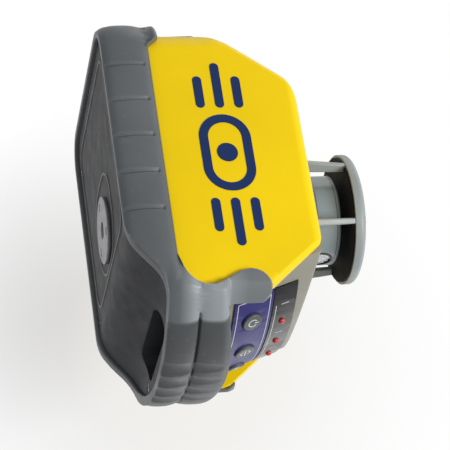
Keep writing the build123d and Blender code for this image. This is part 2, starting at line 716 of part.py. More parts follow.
def lighthouse_cap():
    edge = Polyline((0, CAP_H), (0, 0), (CAP_R, 0), (CAP_R, CAP_EDGE))
    dome = Bezier((CAP_R, CAP_EDGE), (CAP_R, CAP_H), (CAP_R / 2, CAP_H), (0, CAP_H))
    face = make_face([edge, dome])
    shape = revolve(Plane.XZ.offset(0) * Pos(0, CAP_Z) * face, Axis.Z)
    for angle in POST_ANGLES:
        turn = radians(angle)
        at = (POST_HEAD_R * sin(turn), -POST_HEAD_R * cos(turn))
        shape -= rod(CAP_HEAD_R, CAP_Z + CAP_HEAD_Z, HEIGHT, at)
        shape -= rod(CAP_SCREW_R, CAP_Z - 1, HEIGHT, at)
    mark = block((-SIGHT_W / 2, SIGHT_W / 2), (-CAP_R, -CAP_R / 6), (HEIGHT - SIGHT_DEPTH, HEIGHT + 1))
    for turn in (0, 90, 180, 270):
        shape -= Rot(0, 0, turn) * mark
    return shape


def battery_tray():
    z = (TRAY_FLOOR - TRAY_WALL, TRAY_FLOOR + TRAY_HEIGHT + TRAY_WALL)
    hx = TRAY_HX + TRAY_WALL
    shape = block((-hx, hx), (CELL_Y - CELL_R - TRAY_WALL, CASE_HY - WALL), z)
    room_z = (TRAY_FLOOR, TRAY_FLOOR + TRAY_HEIGHT)
    return shape - block((-TRAY_HX, TRAY_HX), (CELL_Y - CELL_R, CASE_HY), room_z)


def cell(tip):
    """D cell with its nub at an X."""
    can = rod_x(CELL_R, tip - CELL_LENGTH, tip - NUB_H, CELL_Y, CELL_Z)
    can = fillet(can.edges(), 1.0)
    return can + rod_x(NUB_R, tip - NUB_H - 1, tip, CELL_Y, CELL_Z)


def contact_spring():
    length = TRAY_HX + CELL_TIP - 2 * CELL_LENGTH
    wire = 0.6
    path = Helix(pitch=(length - 2 * wire) / 3, height=length - 2 * wire, radius=6.0)
    start = Plane(origin=path @ 0, z_dir=path % 0)
    coil = sweep(start * Circle(wire), path)
    return Pos(-TRAY_HX + wire, CELL_Y, CELL_Z) * Rot(0, 90, 0) * coil


def battery_door():
    z = (DOOR_AXIS_Z, TRAY_FLOOR + TRAY_HEIGHT + DOOR_OVERLAP)
    hx = TRAY_HX + DOOR_OVERLAP
    face = Pos(0, (z[0] + z[1]) / 2) * Rectangle(2 * hx, z[1] - z[0])
    face += Pos(0, STUD_Z) * Circle(KNOB_R + 2.5)
    face = fillet([near(face, hx, z[1]), near(face, -hx, z[1])], 4)
    panel = extrude(Plane.XZ * face, -DOOR_T)
    panel = Pos(0, DOOR_FACE, 0) * panel
    panel = chamfer(panel.faces().sort_by(Axis.Y)[-1].edges(), 0.8)
    panel += rod_x(DOOR_KNUCKLE_R, -KNUCKLE_HX, KNUCKLE_HX, DOOR_AXIS_Y, DOOR_AXIS_Z)
    gap_x = (KNUCKLE_HX, hx + 1)
    gap_z = (0, DOOR_AXIS_Z + DOOR_KNUCKLE_R + SLIDE)
    panel -= both_sides(block(gap_x, (CASE_HY, LENGTH), gap_z))
    for k in (-2, -1, 1, 2):
        x = k * 22
        panel -= block((x - 1.5, x + 1.5), (DOOR_FACE + DOOR_T - 0.8, LENGTH), (z[0] + 9, z[1] - 8))
    panel -= rod_x(DOOR_PIN_R + RUN, -BIG, BIG, DOOR_AXIS_Y, DOOR_AXIS_Z)
    return panel - rod_y(STUD_R + RUN, CASE_HY, LENGTH, 0, STUD_Z)


def door_seal():
    low = DOOR_AXIS_Z + DOOR_KNUCKLE_R + SLIDE
    high = TRAY_FLOOR + TRAY_HEIGHT + 1.5
    outer = Pos(0, (low + high) / 2) * RectangleRounded(2 * TRAY_HX + 5, high - low, 2)
    inner = Pos(0, (low + high) / 2) * RectangleRounded(2 * TRAY_HX + 2, high - low - 3, 1)
    return Pos(0, DOOR_FACE - SEAL_T, 0) * extrude(Plane.XZ * (outer - inner), -SEAL_T)


def door_hinge_pin():
    hx = KNUCKLE_HX + LUG_W
    return rod_x(DOOR_PIN_R, -hx, hx, DOOR_AXIS_Y, DOOR_AXIS_Z)


def door_knob():
    face = DOOR_FACE + DOOR_T
    head = rod_y(KNOB_R, face + SEAT, face + KNOB_H, 0, STUD_Z)
    head = chamfer(head.edges().sort_by(Axis.Y)[-1], 0.8)
    head -= block((-KNOB_R, KNOB_R), (face + KNOB_H - 1.8, LENGTH), (STUD_Z - 1, STUD_Z + 1))
    for turn in range(15, 375, 30):
        x = KNOB_R * cos(radians(turn))
        head -= rod_y(KNOB_FLUTE_R, face, LENGTH, x, STUD_Z + KNOB_R * sin(radians(turn)))
    return head + rod_y(STUD_R, CASE_HY - WALL + 0.5, face + SEAT, 0, STUD_Z)


def chassis():
    shape = block((-CHASSIS_HX, CHASSIS_HX), CHASSIS_Y, (CHASSIS_Z, CHASSIS_Z + CHASSIS_T))
    ear = Pos(0, (CHASSIS_Z + PIVOT_Z) / 2) * Rectangle(UPRIGHT_W, PIVOT_Z - CHASSIS_Z)
    ear += Pos(0, PIVOT_Z) * Circle(PIVOT_BOSS_R)
    ear = make_hull(ear.edges())
    upright = Pos(UPRIGHT_X[0], 0, 0) * extrude(Plane.YZ * ear, UPRIGHT_X[1] - UPRIGHT_X[0])
    shape += both_sides(upright)
    x, y = NUT_X_AT
    top = PIVOT_Z - MOTOR_BELOW - MOTOR_H / 2
    side = MOTOR_BLOCK
    shape += block((x - side, x + side), (y - side, y + side), (CHASSIS_Z, top))
    shape -= rod(MOTOR_R, top - MOTOR_H / 2, top + 1, NUT_X_AT)
    return shape - outer_pivot_pins()


def outer_pivot_pins():
    return both_sides(rod_x(PIVOT_R, GIMBAL_BORE_R + 2, UPRIGHT_X[1], 0, PIVOT_Z))


def inner_pivot_pins():
    pin = rod_y(PIVOT_R, COLLAR_R - 5, GIMBAL_R - 0.5, 0, PIVOT_Z)
    return pin + mirror(pin, Plane.XZ)


def gimbal_ring():
    z0 = PIVOT_Z - GIMBAL_H / 2
    shape = tube(GIMBAL_R, GIMBAL_BORE_R, z0, z0 + GIMBAL_H)
    x, y = NUT_X_AT
    arm = block((x - 9, x + 9), (GIMBAL_R - 3, y + 8), (PIVOT_Z - ARM_T / 2, PIVOT_Z + ARM_T / 2))
    arm -= rod(SLOT_R, 0, BIG, NUT_X_AT)
    arm -= block((x - SLOT_R, x + SLOT_R), (y, BIG), (0, BIG))
    ear = make_hull((Pos(*NUT_Y_AT) * Circle(9)).edges() + (Pos(-20, -16) * Circle(8)).edges())
    ear = Pos(0, 0, z0) * extrude(ear, ARM_T)
    ear -= rod((GIMBAL_R + GIMBAL_BORE_R) / 2, 0, BIG)
    ear -= rod(SCREW_LEAD_R + 2 * SLIDE, 0, BIG, NUT_Y_AT)
    shape = shape + arm + ear
    shape -= rod_x(PIVOT_R + RUN, -GIMBAL_R - 1, GIMBAL_R + 1, 0, PIVOT_Z)
    return shape - inner_pivot_pins()


def level_nut(at, mid):
    h = NUT_GROOVE / 2
    shape = rod(NUT_R, mid - h - NUT_FLANGE, mid - h, at) + rod(NUT_R, mid + h, mid + h + NUT_FLANGE, at)
    shape += rod(NUT_WAIST_R, mid - h, mid + h, at)
    return shape - rod(SCREW_LEAD_R + RUN, 0, BIG, at)


def level_motor(at, top):
    shape = rod(MOTOR_R, top - MOTOR_H, top, at)
    return shape - rod(SCREW_LEAD_R + RUN, top - SOCKET, top + 1, at)


def level_screw(at, motor_top, top):
    return rod(SCREW_LEAD_R, motor_top - SOCKET + RUN, top, at)


def laser_barrel():
    rings = [(BARREL_BORE_R, BARREL_FOOT), (BARREL_R, BARREL_FOOT), (BARREL_R, PIVOT_Z - COLLAR_HALF)]
    rings += [(COLLAR_R, PIVOT_Z - COLLAR_HALF), (COLLAR_R, BRACKET_Z)]
    rings += [(NECK_R, BRACKET_Z), (NECK_R, NECK_TOP)]
    rings += [(NECK_BORE_R, NECK_TOP), (NECK_BORE_R, PIVOT_Z - 14), (BARREL_BORE_R, PIVOT_Z - 14)]
    shape = revolve(Plane.XZ * make_face(Polyline(*rings, close=True)), Axis.Z)
    bore = rod_y(PIVOT_R + RUN, COLLAR_R - 5 - SEAT, COLLAR_R + 1, 0, PIVOT_Z)
    return shape - bore - mirror(bore, Plane.XZ)


def barrel_bracket():
    hub = Circle(COLLAR_R - 2)
    motor_arm = make_hull(hub.edges() + (Pos(*SPIN_MOTOR_AT) * Circle(SPIN_MOTOR_R)).edges())
    nut_arm = make_hull((Circle(10)).edges() + (Pos(*NUT_Y_AT) * Circle(9)).edges())
    face = motor_arm + nut_arm
    face -= Circle(NECK_R)
    face -= Pos(*SPIN_MOTOR_AT) * Circle(SPIN_BOSS_R)
    slot = Circle(SLOT_R) + Pos(-COLLAR_R, 0) * Rectangle(2 * COLLAR_R, 2 * SLOT_R)
    face -= Pos(NUT_Y_AT[0] + SLOT_EXTRA, NUT_Y_AT[1]) * slot
    return Pos(0, 0, BRACKET_Z) * extrude(face, BRACKET_T)


def level_vials():
    reach = BARREL_R + VIAL_R
    z = PIVOT_Z - VIAL_BELOW
    across = rod_x(VIAL_R, -VIAL_HL, VIAL_HL, -reach, z)
    along = rod_y(VIAL_R, -VIAL_HL, VIAL_HL, reach, z)
    return Compound(children=[across, along])


def rotor_motor():
    shape = rod(SPIN_MOTOR_R, BRACKET_Z - SPIN_MOTOR_H, BRACKET_Z, SPIN_MOTOR_AT)
    shape += rod(SPIN_BOSS_R, BRACKET_Z, BRACKET_Z + BRACKET_T, SPIN_MOTOR_AT)
    return shape - rod(SPIN_SHAFT_R + RUN, BRACKET_Z - SOCKET, BRACKET_Z + BRACKET_T, SPIN_MOTOR_AT)


def pulley(r, at):
    shape = rod(r, PULLEY_Z, PULLEY_Z + PULLEY_H, at)
    shape += rod(r + FLANGE_OVER, PULLEY_Z, PULLEY_Z + FLANGE_T, at)
    return shape + rod(r + FLANGE_OVER, PULLEY_Z + PULLEY_H - FLANGE_T, PULLEY_Z + PULLEY_H, at)


def motor_pulley():
    shaft = rod(SPIN_SHAFT_R, BRACKET_Z - SOCKET + RUN, PULLEY_Z, SPIN_MOTOR_AT)
    return pulley(PINION_R, SPIN_MOTOR_AT) + shaft


def belt_loop(grow):
    big = Circle(PULLEY_R + grow)
    small = Pos(*SPIN_MOTOR_AT) * Circle(PINION_R + grow)
    return make_hull(big.edges() + small.edges())


def drive_belt():
    z0 = PULLEY_Z + FLANGE_T + SEAT
    face = belt_loop(RUN + BELT_T) - belt_loop(RUN)
    return Pos(0, 0, z0) * extrude(face, PULLEY_H - 2 * FLANGE_T - 2 * SEAT)


def rotor_drum():
    z0, z1 = DRUM_Z
    shape = rod(DRUM_R, z0, z1)
    shape = fillet(shape.edges().group_by(Axis.Z)[-1], 2)
    shape -= rod(DRUM_R - DRUM_WALL, z0 + DRUM_WALL, z1 - DRUM_WALL)
    shape -= rod(NECK_BORE_R, z0 - 1, z0 + DRUM_WALL + 1)
    return shape - rod_y(EXIT_R, -DRUM_R - 1, -DRUM_R / 2, 0, PRISM_MID)


def rotor_window():
    return rod_y(EXIT_R, -DRUM_R + 1, -DRUM_R + 3, 0, PRISM_MID)


def pentaprism():
    a = PRISM_A
    run = a * 1.0824
    c = cos(radians(67.5)) * run
    s = sin(radians(67.5)) * run
    points = [(-a / 2, 0), (a / 2, 0), (a / 2 + c, s), (-a / 2 + s, a + c), (-a / 2, a)]
    face = make_face(Polyline(*points, close=True))
    return Pos(0, 0, PRISM_FOOT) * extrude(Plane.YZ * face, PRISM_A / 2 + 1, both=True)


def main_board():
    x, y, z = MAIN_BOARD_X, MAIN_BOARD_Y, MAIN_BOARD_Z
    shape = block((x, x + BOARD_T), y, z)
    shape += block((x - 2.5, x), (y[0] + 26, y[0] + 46), (z[0] + 22, z[0] + 42))
    shape += block((x - 2, x), (y[1] - 44, y[1] - 30), (z[1] - 26, z[1] - 14))
    shape += block((x - 7, x), (y[1] - 36, y[1] - 12), (z[0] + 6, z[0] + 14))
    return shape + rod_x(7, x - 8, x, y[0] + 16, z[0] + 14)


def side_label():
    """Printed film on the left panel: beam lines either side of a vial outline."""
    lean = degrees(atan2(SIDE_LEAN, DECK_Z - RIM_TOP))
    at = Pos(-half_width(LABEL_Z), LABEL_Y, LABEL_Z) * Rot(0, lean, 0)
    length, height = VIAL_MARK
    inner = 2 * VIAL_MARK_W
    vial = SlotOverall(length, height) - SlotOverall(length - inner, height - inner)
    pieces = [vial, Circle(BUBBLE_MARK_R)]
    for side in (-1, 1):
        for row, beam in BEAM_MARKS:
            reach = length / 2 + BEAM_MARK_GAP + beam / 2
            pieces.append(Pos(side * reach, row * BEAM_MARK_PITCH) * SlotOverall(beam, BEAM_MARK_W))
    frame = Plane(origin=(0, 0, 0), x_dir=(0, -1, 0), z_dir=(-1, 0, 0))
    return Compound(children=[at * (frame * extrude(piece, LABEL_T)) for piece in pieces])


motor_x_top = PIVOT_Z - MOTOR_BELOW
motor_y_top = PIVOT_Z - GIMBAL_H / 2
nut_y_mid = BRACKET_Z + BRACKET_T / 2
label = side_label()

save(base_pan(), "base_pan")
save(housing_gasket(), "housing_gasket")
save(upper_housing(), "upper_housing")
save(rubber_bumper(), "rubber_bumper")
save(group(housing_screw, SCREW_XY), "housing_screws")
save(tripod_insert(), "tripod_insert")
save(insert_screw_shapes(), "insert_screws")
save(label, "label_left")
save(mirror(label, Plane.YZ), "label_right")
save(keypad_console(), "keypad_console")
save(keypad_panel(), "keypad_panel")
save(indicator_window(), "indicator_window")
save(group(indicator_lamp, [(-1,), (0,), (1,)]), "indicator_lamps")
save(keypad_board(), "keypad_board")
save(button(-1), "power_button")
save(button(0), "manual_button")
save(button(1), "alert_button")
save(lighthouse_ring(), "lighthouse_ring")
post_angles = [(angle,) for angle in POST_ANGLES]
cap_screws = group(cap_screw, post_angles)
save(group(post, post_angles) - cap_screws, "lighthouse_posts")
save(lighthouse_cap(), "lighthouse_cap")
save(cap_liner(), "cap_liner")
save(cap_screws, "cap_screws")
save(battery_tray(), "battery_tray")
save(cell(CELL_TIP), "cell_right")
save(cell(CELL_TIP - CELL_LENGTH), "cell_left")
save(contact_spring(), "contact_spring")
plate_y = (CELL_Y - PLATE_HALF, CELL_Y + PLATE_HALF)
plate_z = (CELL_Z - PLATE_HALF, CELL_Z + PLATE_HALF)
save(block((CELL_TIP, TRAY_HX), plate_y, plate_z), "contact_plate")
save(battery_door(), "battery_door")
save(door_seal(), "door_seal")
save(door_hinge_pin(), "door_hinge_pin")
save(door_knob(), "door_knob")
save(chassis(), "chassis")
save(outer_pivot_pins(), "outer_pivot_pins")
save(gimbal_ring(), "gimbal_ring")
save(inner_pivot_pins(), "inner_pivot_pins")
save(level_motor(NUT_X_AT, motor_x_top), "level_motor_x")
save(level_screw(NUT_X_AT, motor_x_top, PIVOT_Z + 14), "level_screw_x")
save(level_nut(NUT_X_AT, PIVOT_Z), "level_nut_x")
save(level_motor(NUT_Y_AT, motor_y_top), "level_motor_y")
save(level_screw(NUT_Y_AT, motor_y_top, nut_y_mid + 9.5), "level_screw_y")
save(level_nut(NUT_Y_AT, nut_y_mid), "level_nut_y")
save(laser_barrel(), "laser_barrel")
save(barrel_bracket(), "barrel_bracket")
diode = rod(BARREL_R, BARREL_FOOT - DIODE_T, BARREL_FOOT)
save(diode + rod(BARREL_BORE_R, BARREL_FOOT, BARREL_FOOT + DIODE_IN), "laser_diode")
save(rod(BARREL_BORE_R, PIVOT_Z - LENS_BELOW, PIVOT_Z - LENS_BELOW + LENS_T), "collimator_lens")
save(level_vials(), "level_vials")
bearing_z = BRACKET_Z + BRACKET_T + 1
save(tube(BEARING_R, NECK_R, bearing_z, bearing_z + BEARING_H), "bearing_lower")
bearing_z = NECK_TOP - 2
save(tube(BEARING_R, NECK_R, bearing_z - BEARING_H, bearing_z), "bearing_upper")
save(rotor_motor(), "rotor_motor")
save(motor_pulley(), "motor_pulley")
save(drive_belt(), "drive_belt")
save(tube(HUB_R, BEARING_R + RUN, PULLEY_Z, DRUM_Z[0]), "rotor_hub")
save(pulley(PULLEY_R, (0, 0)) - rod(HUB_R, 0, BIG), "rotor_pulley")
save(rotor_drum(), "rotor_drum")
save(rotor_window(), "rotor_window")
save(pentaprism(), "pentaprism")
save(main_board(), "main_board")
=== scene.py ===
"""Dresses a self-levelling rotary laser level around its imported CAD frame, in metres, +Z up."""

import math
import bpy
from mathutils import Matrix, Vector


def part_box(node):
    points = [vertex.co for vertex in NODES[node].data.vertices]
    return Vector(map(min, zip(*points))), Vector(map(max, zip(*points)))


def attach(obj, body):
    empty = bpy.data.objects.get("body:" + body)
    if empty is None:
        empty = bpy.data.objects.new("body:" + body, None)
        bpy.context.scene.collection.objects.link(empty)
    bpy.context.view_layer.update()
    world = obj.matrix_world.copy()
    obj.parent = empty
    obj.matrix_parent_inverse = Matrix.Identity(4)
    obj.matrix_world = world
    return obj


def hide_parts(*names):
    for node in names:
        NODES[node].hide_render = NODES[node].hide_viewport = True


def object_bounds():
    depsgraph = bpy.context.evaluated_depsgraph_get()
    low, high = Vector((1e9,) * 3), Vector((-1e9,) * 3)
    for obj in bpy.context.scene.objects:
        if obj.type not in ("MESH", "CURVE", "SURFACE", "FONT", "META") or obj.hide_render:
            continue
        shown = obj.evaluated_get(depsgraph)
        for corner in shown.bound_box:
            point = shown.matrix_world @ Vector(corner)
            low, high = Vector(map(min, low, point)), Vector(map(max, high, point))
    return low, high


bl_info = {
    "name": "Rotary Laser Level",
    "version": (1, 0, 0),
    "blender": (4, 5, 0),
    "location": "View3D > Sidebar > Laser Level",
    "description": "Finishes, moulded shells and stage for a rotary laser level",
    "category": "Object",
}

import bmesh
import bpy
from mathutils import Matrix, Vector

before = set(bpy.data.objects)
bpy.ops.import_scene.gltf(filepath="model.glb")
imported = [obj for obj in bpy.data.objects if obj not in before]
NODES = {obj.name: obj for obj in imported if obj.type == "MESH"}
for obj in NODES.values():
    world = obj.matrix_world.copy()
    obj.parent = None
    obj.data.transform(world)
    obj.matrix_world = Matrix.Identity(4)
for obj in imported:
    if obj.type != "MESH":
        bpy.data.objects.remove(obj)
CAD_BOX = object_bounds()

MM = 0.001
HOUSING_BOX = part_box("upper_housing")
PAN_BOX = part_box("base_pan")
CONSOLE_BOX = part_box("keypad_console")
TRAY_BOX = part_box("battery_tray")
PIN_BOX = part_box("door_hinge_pin")
KNOB_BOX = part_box("door_knob")
DRUM_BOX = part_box("rotor_drum")
WINDOW_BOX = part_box("rotor_window")
PANEL_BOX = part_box("keypad_panel")
SMOKED_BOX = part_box("indicator_window")

CLOSE = 0.01 * MM  # points nearer than this are one point
FINE_EDGE = 0.3 * MM  # bevel on small parts
HARD_ANGLE = math.radians(32)  # an edge that turns more than this stays sharp
SOFT_ANGLE = math.radians(80)  # the same on rubber
FLAT_ANGLE = math.radians(0.5)  # faces that turn less than this are one face
BEVEL_ANGLE = math.radians(35)  # an edge that turns more than this is bevelled
SAME_POINT = 0.001 * MM  # gap between a CAD mesh's doubled points
BLACK = (0.02, 0.02, 0.022)  # dark plastics
SOFT_BLACK = (0.012, 0.012, 0.013)  # gasket, seal and belt


def colour_property(label, words, value):
    """A colour that a user can change."""
    return bpy.props.FloatVectorProperty(
        name=label, description=words, default=value, size=3, min=0.0, max=1.0, subtype="COLOR"
    )


def length_property(label, words, value):
    """A length that a user can change."""
    return bpy.props.FloatProperty(name=label, description=words, default=value, unit="LENGTH", precision=5)


def angle_property(label, words, degrees):
    """An angle that a user can change."""
    return bpy.props.FloatProperty(
        name=label, description=words, default=math.radians(degrees), subtype="ANGLE"
    )


def power_property(label, words, watts):
    """The power of a lamp, which a user can change."""
    return bpy.props.FloatProperty(name=label, description=words, default=watts, unit="POWER")


class LevelFinishes(bpy.types.PropertyGroup):
    """Colours of the level's finishes."""

    yellow: colour_property("Yellow", "Moulded case", (0.91, 0.63, 0.002))
    rubber: colour_property("Rubber", "Bumper and grip", (0.108, 0.117, 0.123))
    pan: colour_property("Pan", "Base pan, its beads and the battery door", (0.024, 0.025, 0.028))
    print_blue: colour_property("Print", "Printed side marks", (0.004, 0.022, 0.100))
    console: colour_property("Console", "Keypad surround", (0.235, 0.228, 0.185))
    film: colour_property("Film", "Key panel film", (0.014, 0.010, 0.120))
    window: colour_property("Window", "Smoked indicator window", (0.006, 0.006, 0.008))
    key: colour_property("Keys", "Key caps", (0.060, 0.062, 0.068))
    cage: colour_property("Cage", "Lighthouse ring, posts and cap", (0.265, 0.29, 0.29))
    drum: colour_property("Drum", "Rotor drum", (0.255, 0.305, 0.315))
    board: colour_property("Boards", "Solder mask", (0.012, 0.120, 0.045))
    jacket: colour_property("Cells", "Jacket of the cells", (0.45, 0.33, 0.12))
    mark: colour_property("Marks", "Printed marks on keys and films", (0.62, 0.63, 0.64))


class LevelShapes(bpy.types.PropertyGroup):
    """Sizes of the modelled shells."""

    side_lean: length_property("Side lean", "Lean of the case sides over their height", 6 * MM)
    knee_z: length_property("Knee height", "Height where the rear wall starts to slope", 84 * MM)
    knee_round: length_property("Knee rounding", "Half height of the rounded knee", 9 * MM)
    deck_rear: length_property("Deck rear", "Where the rear slope would meet the deck", 78 * MM)
    rear_round: length_property("Rear rounding", "Radius between the rear slope and the deck", 30 * MM)
    nose_round: length_property("Nose rounding", "Radius between the deck and the cheeks' edge", 13 * MM)
    deck_front: length_property("Deck front", "Front edge of the deck", -60 * MM)
    slope_foot: length_property("Slope foot", "Height of the foot of the front slope", 69 * MM)
    deck_round: length_property("Deck rounding", "Radius of the deck's edges", 9 * MM)
    corner_low: length_property("Low corner", "Radius of the upright corners", 21 * MM)
    bow_r: length_property("Front bow", "Radius of the case's bowed front", 141 * MM)
    corner_high: length_property("High corner", "Radius of the sloping rear corners", 9 * MM)
    cheek_round: length_property("Cheek rounding", "Radius of the cheeks' outer edge", 5 * MM)
    seam: length_property("Seam", "Depth of the seams between shells", 0.8 * MM)
    well_r: length_property("Well radius", "Radius of the hole under the rotor", 30 * MM)
    rubber_voxel: length_property("Rubber detail", "Cell size of the softened rubber", 0.8 * MM)
    console_lean: angle_property("Console lean", "Lean of the keypad's face", 16.0)
    console_r: length_property("Console radius", "Radius of the keypad's face at the deck", 124 * MM)
    key_turn: angle_property("Key turn", "Turn from one key to the next", 16.0)
    key_proud: length_property("Key height", "Height of the keys over the console", 3.2 * MM)
    print_t: length_property("Print", "Thickness of printed marks", 0.12 * MM)
    edge: length_property("Edge", "Bevel on hard moulded edges", 0.7 * MM)
    rim_crown: length_property("Rim bulge", "How far the rim's face bulges", 3.0 * MM)
    grip_crown: length_property("Grip bulge", "How far each half of the grip's face bulges", 2.2 * MM)
    grip_low: length_property("Grip foot", "Height of the grip's lower edge", 26 * MM)
    grip_crease: length_property("Grip crease", "Height of the crease between the grip's halves", 50 * MM)
    grip_high: length_property("Grip top", "Height of the grip's upper edge", 79 * MM)


class LevelStage(bpy.types.PropertyGroup):
    """Camera and light."""

    azimuth: angle_property("Azimuth", "Camera turn about Z", -61.5)
    elevation: angle_property("Elevation", "Camera height angle", -12.0)
    roll: angle_property("Roll", "Rise of the level's axis to the right", 2.6)
    distance: length_property("Distance", "Camera to the level", 1.6)
    width: length_property("Width", "Width of the picture at the level", 0.350)
    aim_z: length_property("Aim", "Height that the camera looks at", 0.0965)
    key: power_property("Key", "Power of the key lamp", 30.0)
    fill: power_property("Fill", "Power of the fill lamps", 6.0)
    ambient: bpy.props.FloatProperty(name="Ambient", description="Light from all round", default=0.42)


def finishes():
    """The scene's colours."""
    return bpy.context.scene.level_finishes


def shapes():
    """The scene's sizes."""
    return bpy.context.scene.level_shapes


# Material nodes


def put(tree, kind, settings=None, **sockets):
    """Adds a node, with its settings and its sockets' values or links."""
    node = tree.nodes.new(kind)
    for name, value in (settings or {}).items():
        setattr(node, name, value)
    for name, value in sockets.items():
        socket = node.inputs[name.replace("_", " ")]
        if isinstance(value, bpy.types.NodeSocket):
            tree.links.new(value, socket)
        else:
            socket.default_value = value
    return node


def begin(name):
    """A new material, its tree, its shader and the place in the part's own frame."""
    material = bpy.data.materials.new(name)
    material.use_nodes = True
    tree = material.node_tree
    place = tree.nodes.new("ShaderNodeTexCoord").outputs["Object"]
    return material, tree, tree.nodes["Principled BSDF"], place


def noise(tree, place, scale, detail, rough=0.5):
    """A cloudy value between 0 and 1."""
    node = put(tree, "ShaderNodeTexNoise", Vector=place, Scale=scale, Detail=detail, Roughness=rough)
    return node.outputs["Fac"]


def spread(tree, value, low, high, start=0.3, end=0.7):
    """Maps a value to a range."""
    ends = {"From_Min": start, "From_Max": end, "To_Min": low, "To_Max": high}
    return put(tree, "ShaderNodeMapRange", Value=value, **ends).outputs["Result"]


def ramp(tree, value, stops):
    """Colours along a value."""
    node = put(tree, "ShaderNodeValToRGB", Fac=value)
    band = node.color_ramp
    while len(band.elements) < len(stops):
        band.elements.new(0.5)
    for element, (at, colour) in zip(band.elements, stops):
        element.position = at
        element.color = (*colour, 1.0)
    return node.outputs["Color"]


def mix(tree, share, first, second):
    """Blends a plain colour into a colour from a socket."""
    node = put(tree, "ShaderNodeMix", {"data_type": "RGBA"})
    factor, colour_a, colour_b = (node.inputs[index] for index in (0, 6, 7))
    tree.links.new(share, factor)
    tree.links.new(first, colour_a)
    colour_b.default_value = (*second, 1.0)
    return node.outputs[2]


def bump(tree, height, distance, strength, under=None):
    """Relief from a value, over another relief where one is given."""
    node = put(tree, "ShaderNodeBump", Height=height, Distance=distance, Strength=strength)
    if under is not None:
        tree.links.new(under, node.inputs["Normal"])
    return node.outputs["Normal"]


def combine(tree, operation, first, second):
    """One value from two."""
    node = put(tree, "ShaderNodeMath", {"operation": operation})
    tree.links.new(first, node.inputs[0])
    tree.links.new(second, node.inputs[1])
    return node.outputs["Value"]


def both(tree, first, second):
    """Product of two shares."""
    return combine(tree, "MULTIPLY", first, second)


def mix_shaders(tree, share, first, second):
    """Fades one shader into another."""
    node = tree.nodes.new("ShaderNodeMixShader")
    for socket, value in zip(node.inputs, (share, first, second)):
        tree.links.new(value, socket)
    return node.outputs["Shader"]


def shade(colour, share):
    """A colour made darker or lighter."""
    return tuple(min(1.0, channel * share) for channel in colour)


def link(tree, value, shader, socket):
    """Leads a value to one of the shader's sockets."""
    tree.links.new(value, shader.inputs[socket])


def drifting(tree, place, colour, scale, detail, dark, light):
    """A colour that drifts slowly between a darker and a lighter tone."""
    tones = ((0.3, shade(colour, dark)), (0.7, shade(colour, light)))
    return ramp(tree, noise(tree, place, scale, detail), tones)


def handle(tree, place, shader, scale, detail, low, high, rough=0.6):
    """Patchy roughness, as hands leave it."""
    patches = noise(tree, place, scale, detail, rough)
    link(tree, spread(tree, patches, low, high), shader, "Roughness")


def moulded(name, colour, roughness, grain=0.9 * MM, depth=0.02 * MM, specular=0.5):
    """Injection-moulded plastic: fine grain, slow colour drift and handled patches."""
    material, tree, shader, place = begin(name)
    link(tree, drifting(tree, place, colour, 18.0, 3.0, 0.95, 1.05), shader, "Base Color")
    handle(tree, place, shader, 65.0, 4.0, roughness - 0.05, roughness + 0.08)
    fine = noise(tree, place, 1.0 / grain, 1.0)
    link(tree, bump(tree, fine, depth, 0.6), shader, "Normal")
    shader.inputs["Specular IOR Level"].default_value = specular
    return material


def yellow_plastic():
    """Half-gloss yellow moulding with slow ripples and light scuffs."""
    colour = tuple(finishes().yellow)
    material, tree, shader, place = begin("yellow plastic")
    drift = drifting(tree, place, colour, 11.0, 3.0, 0.95, 1.04)
    scuffs = spread(tree, noise(tree, place, 190.0, 6.0, 0.7), 0.0, 0.16, 0.62, 0.74)
    link(tree, mix(tree, scuffs, drift, shade(colour, 0.72)), shader, "Base Color")
    handle(tree, place, shader, 48.0, 5.0, 0.30, 0.44)
    ripples = bump(tree, noise(tree, place, 22.0, 1.0), 0.12 * MM, 0.25)
    fine = noise(tree, place, 1500.0, 1.0)
    link(tree, bump(tree, fine, 0.012 * MM, 0.6, ripples), shader, "Normal")
    shader.inputs["Specular IOR Level"].default_value = 0.16
    return material


# Where the rubber's painted shoulder highlight and painted grip shade change: Y, distance from the middle,
# and two heights
GRIP_FADE = (-92 * MM, -66 * MM)
SHOULDER_EDGE = (70 * MM, 73 * MM)
SHOULDER_FOOT = (34 * MM, 46 * MM)
SHOULDER_TOP = (66 * MM, 86 * MM)


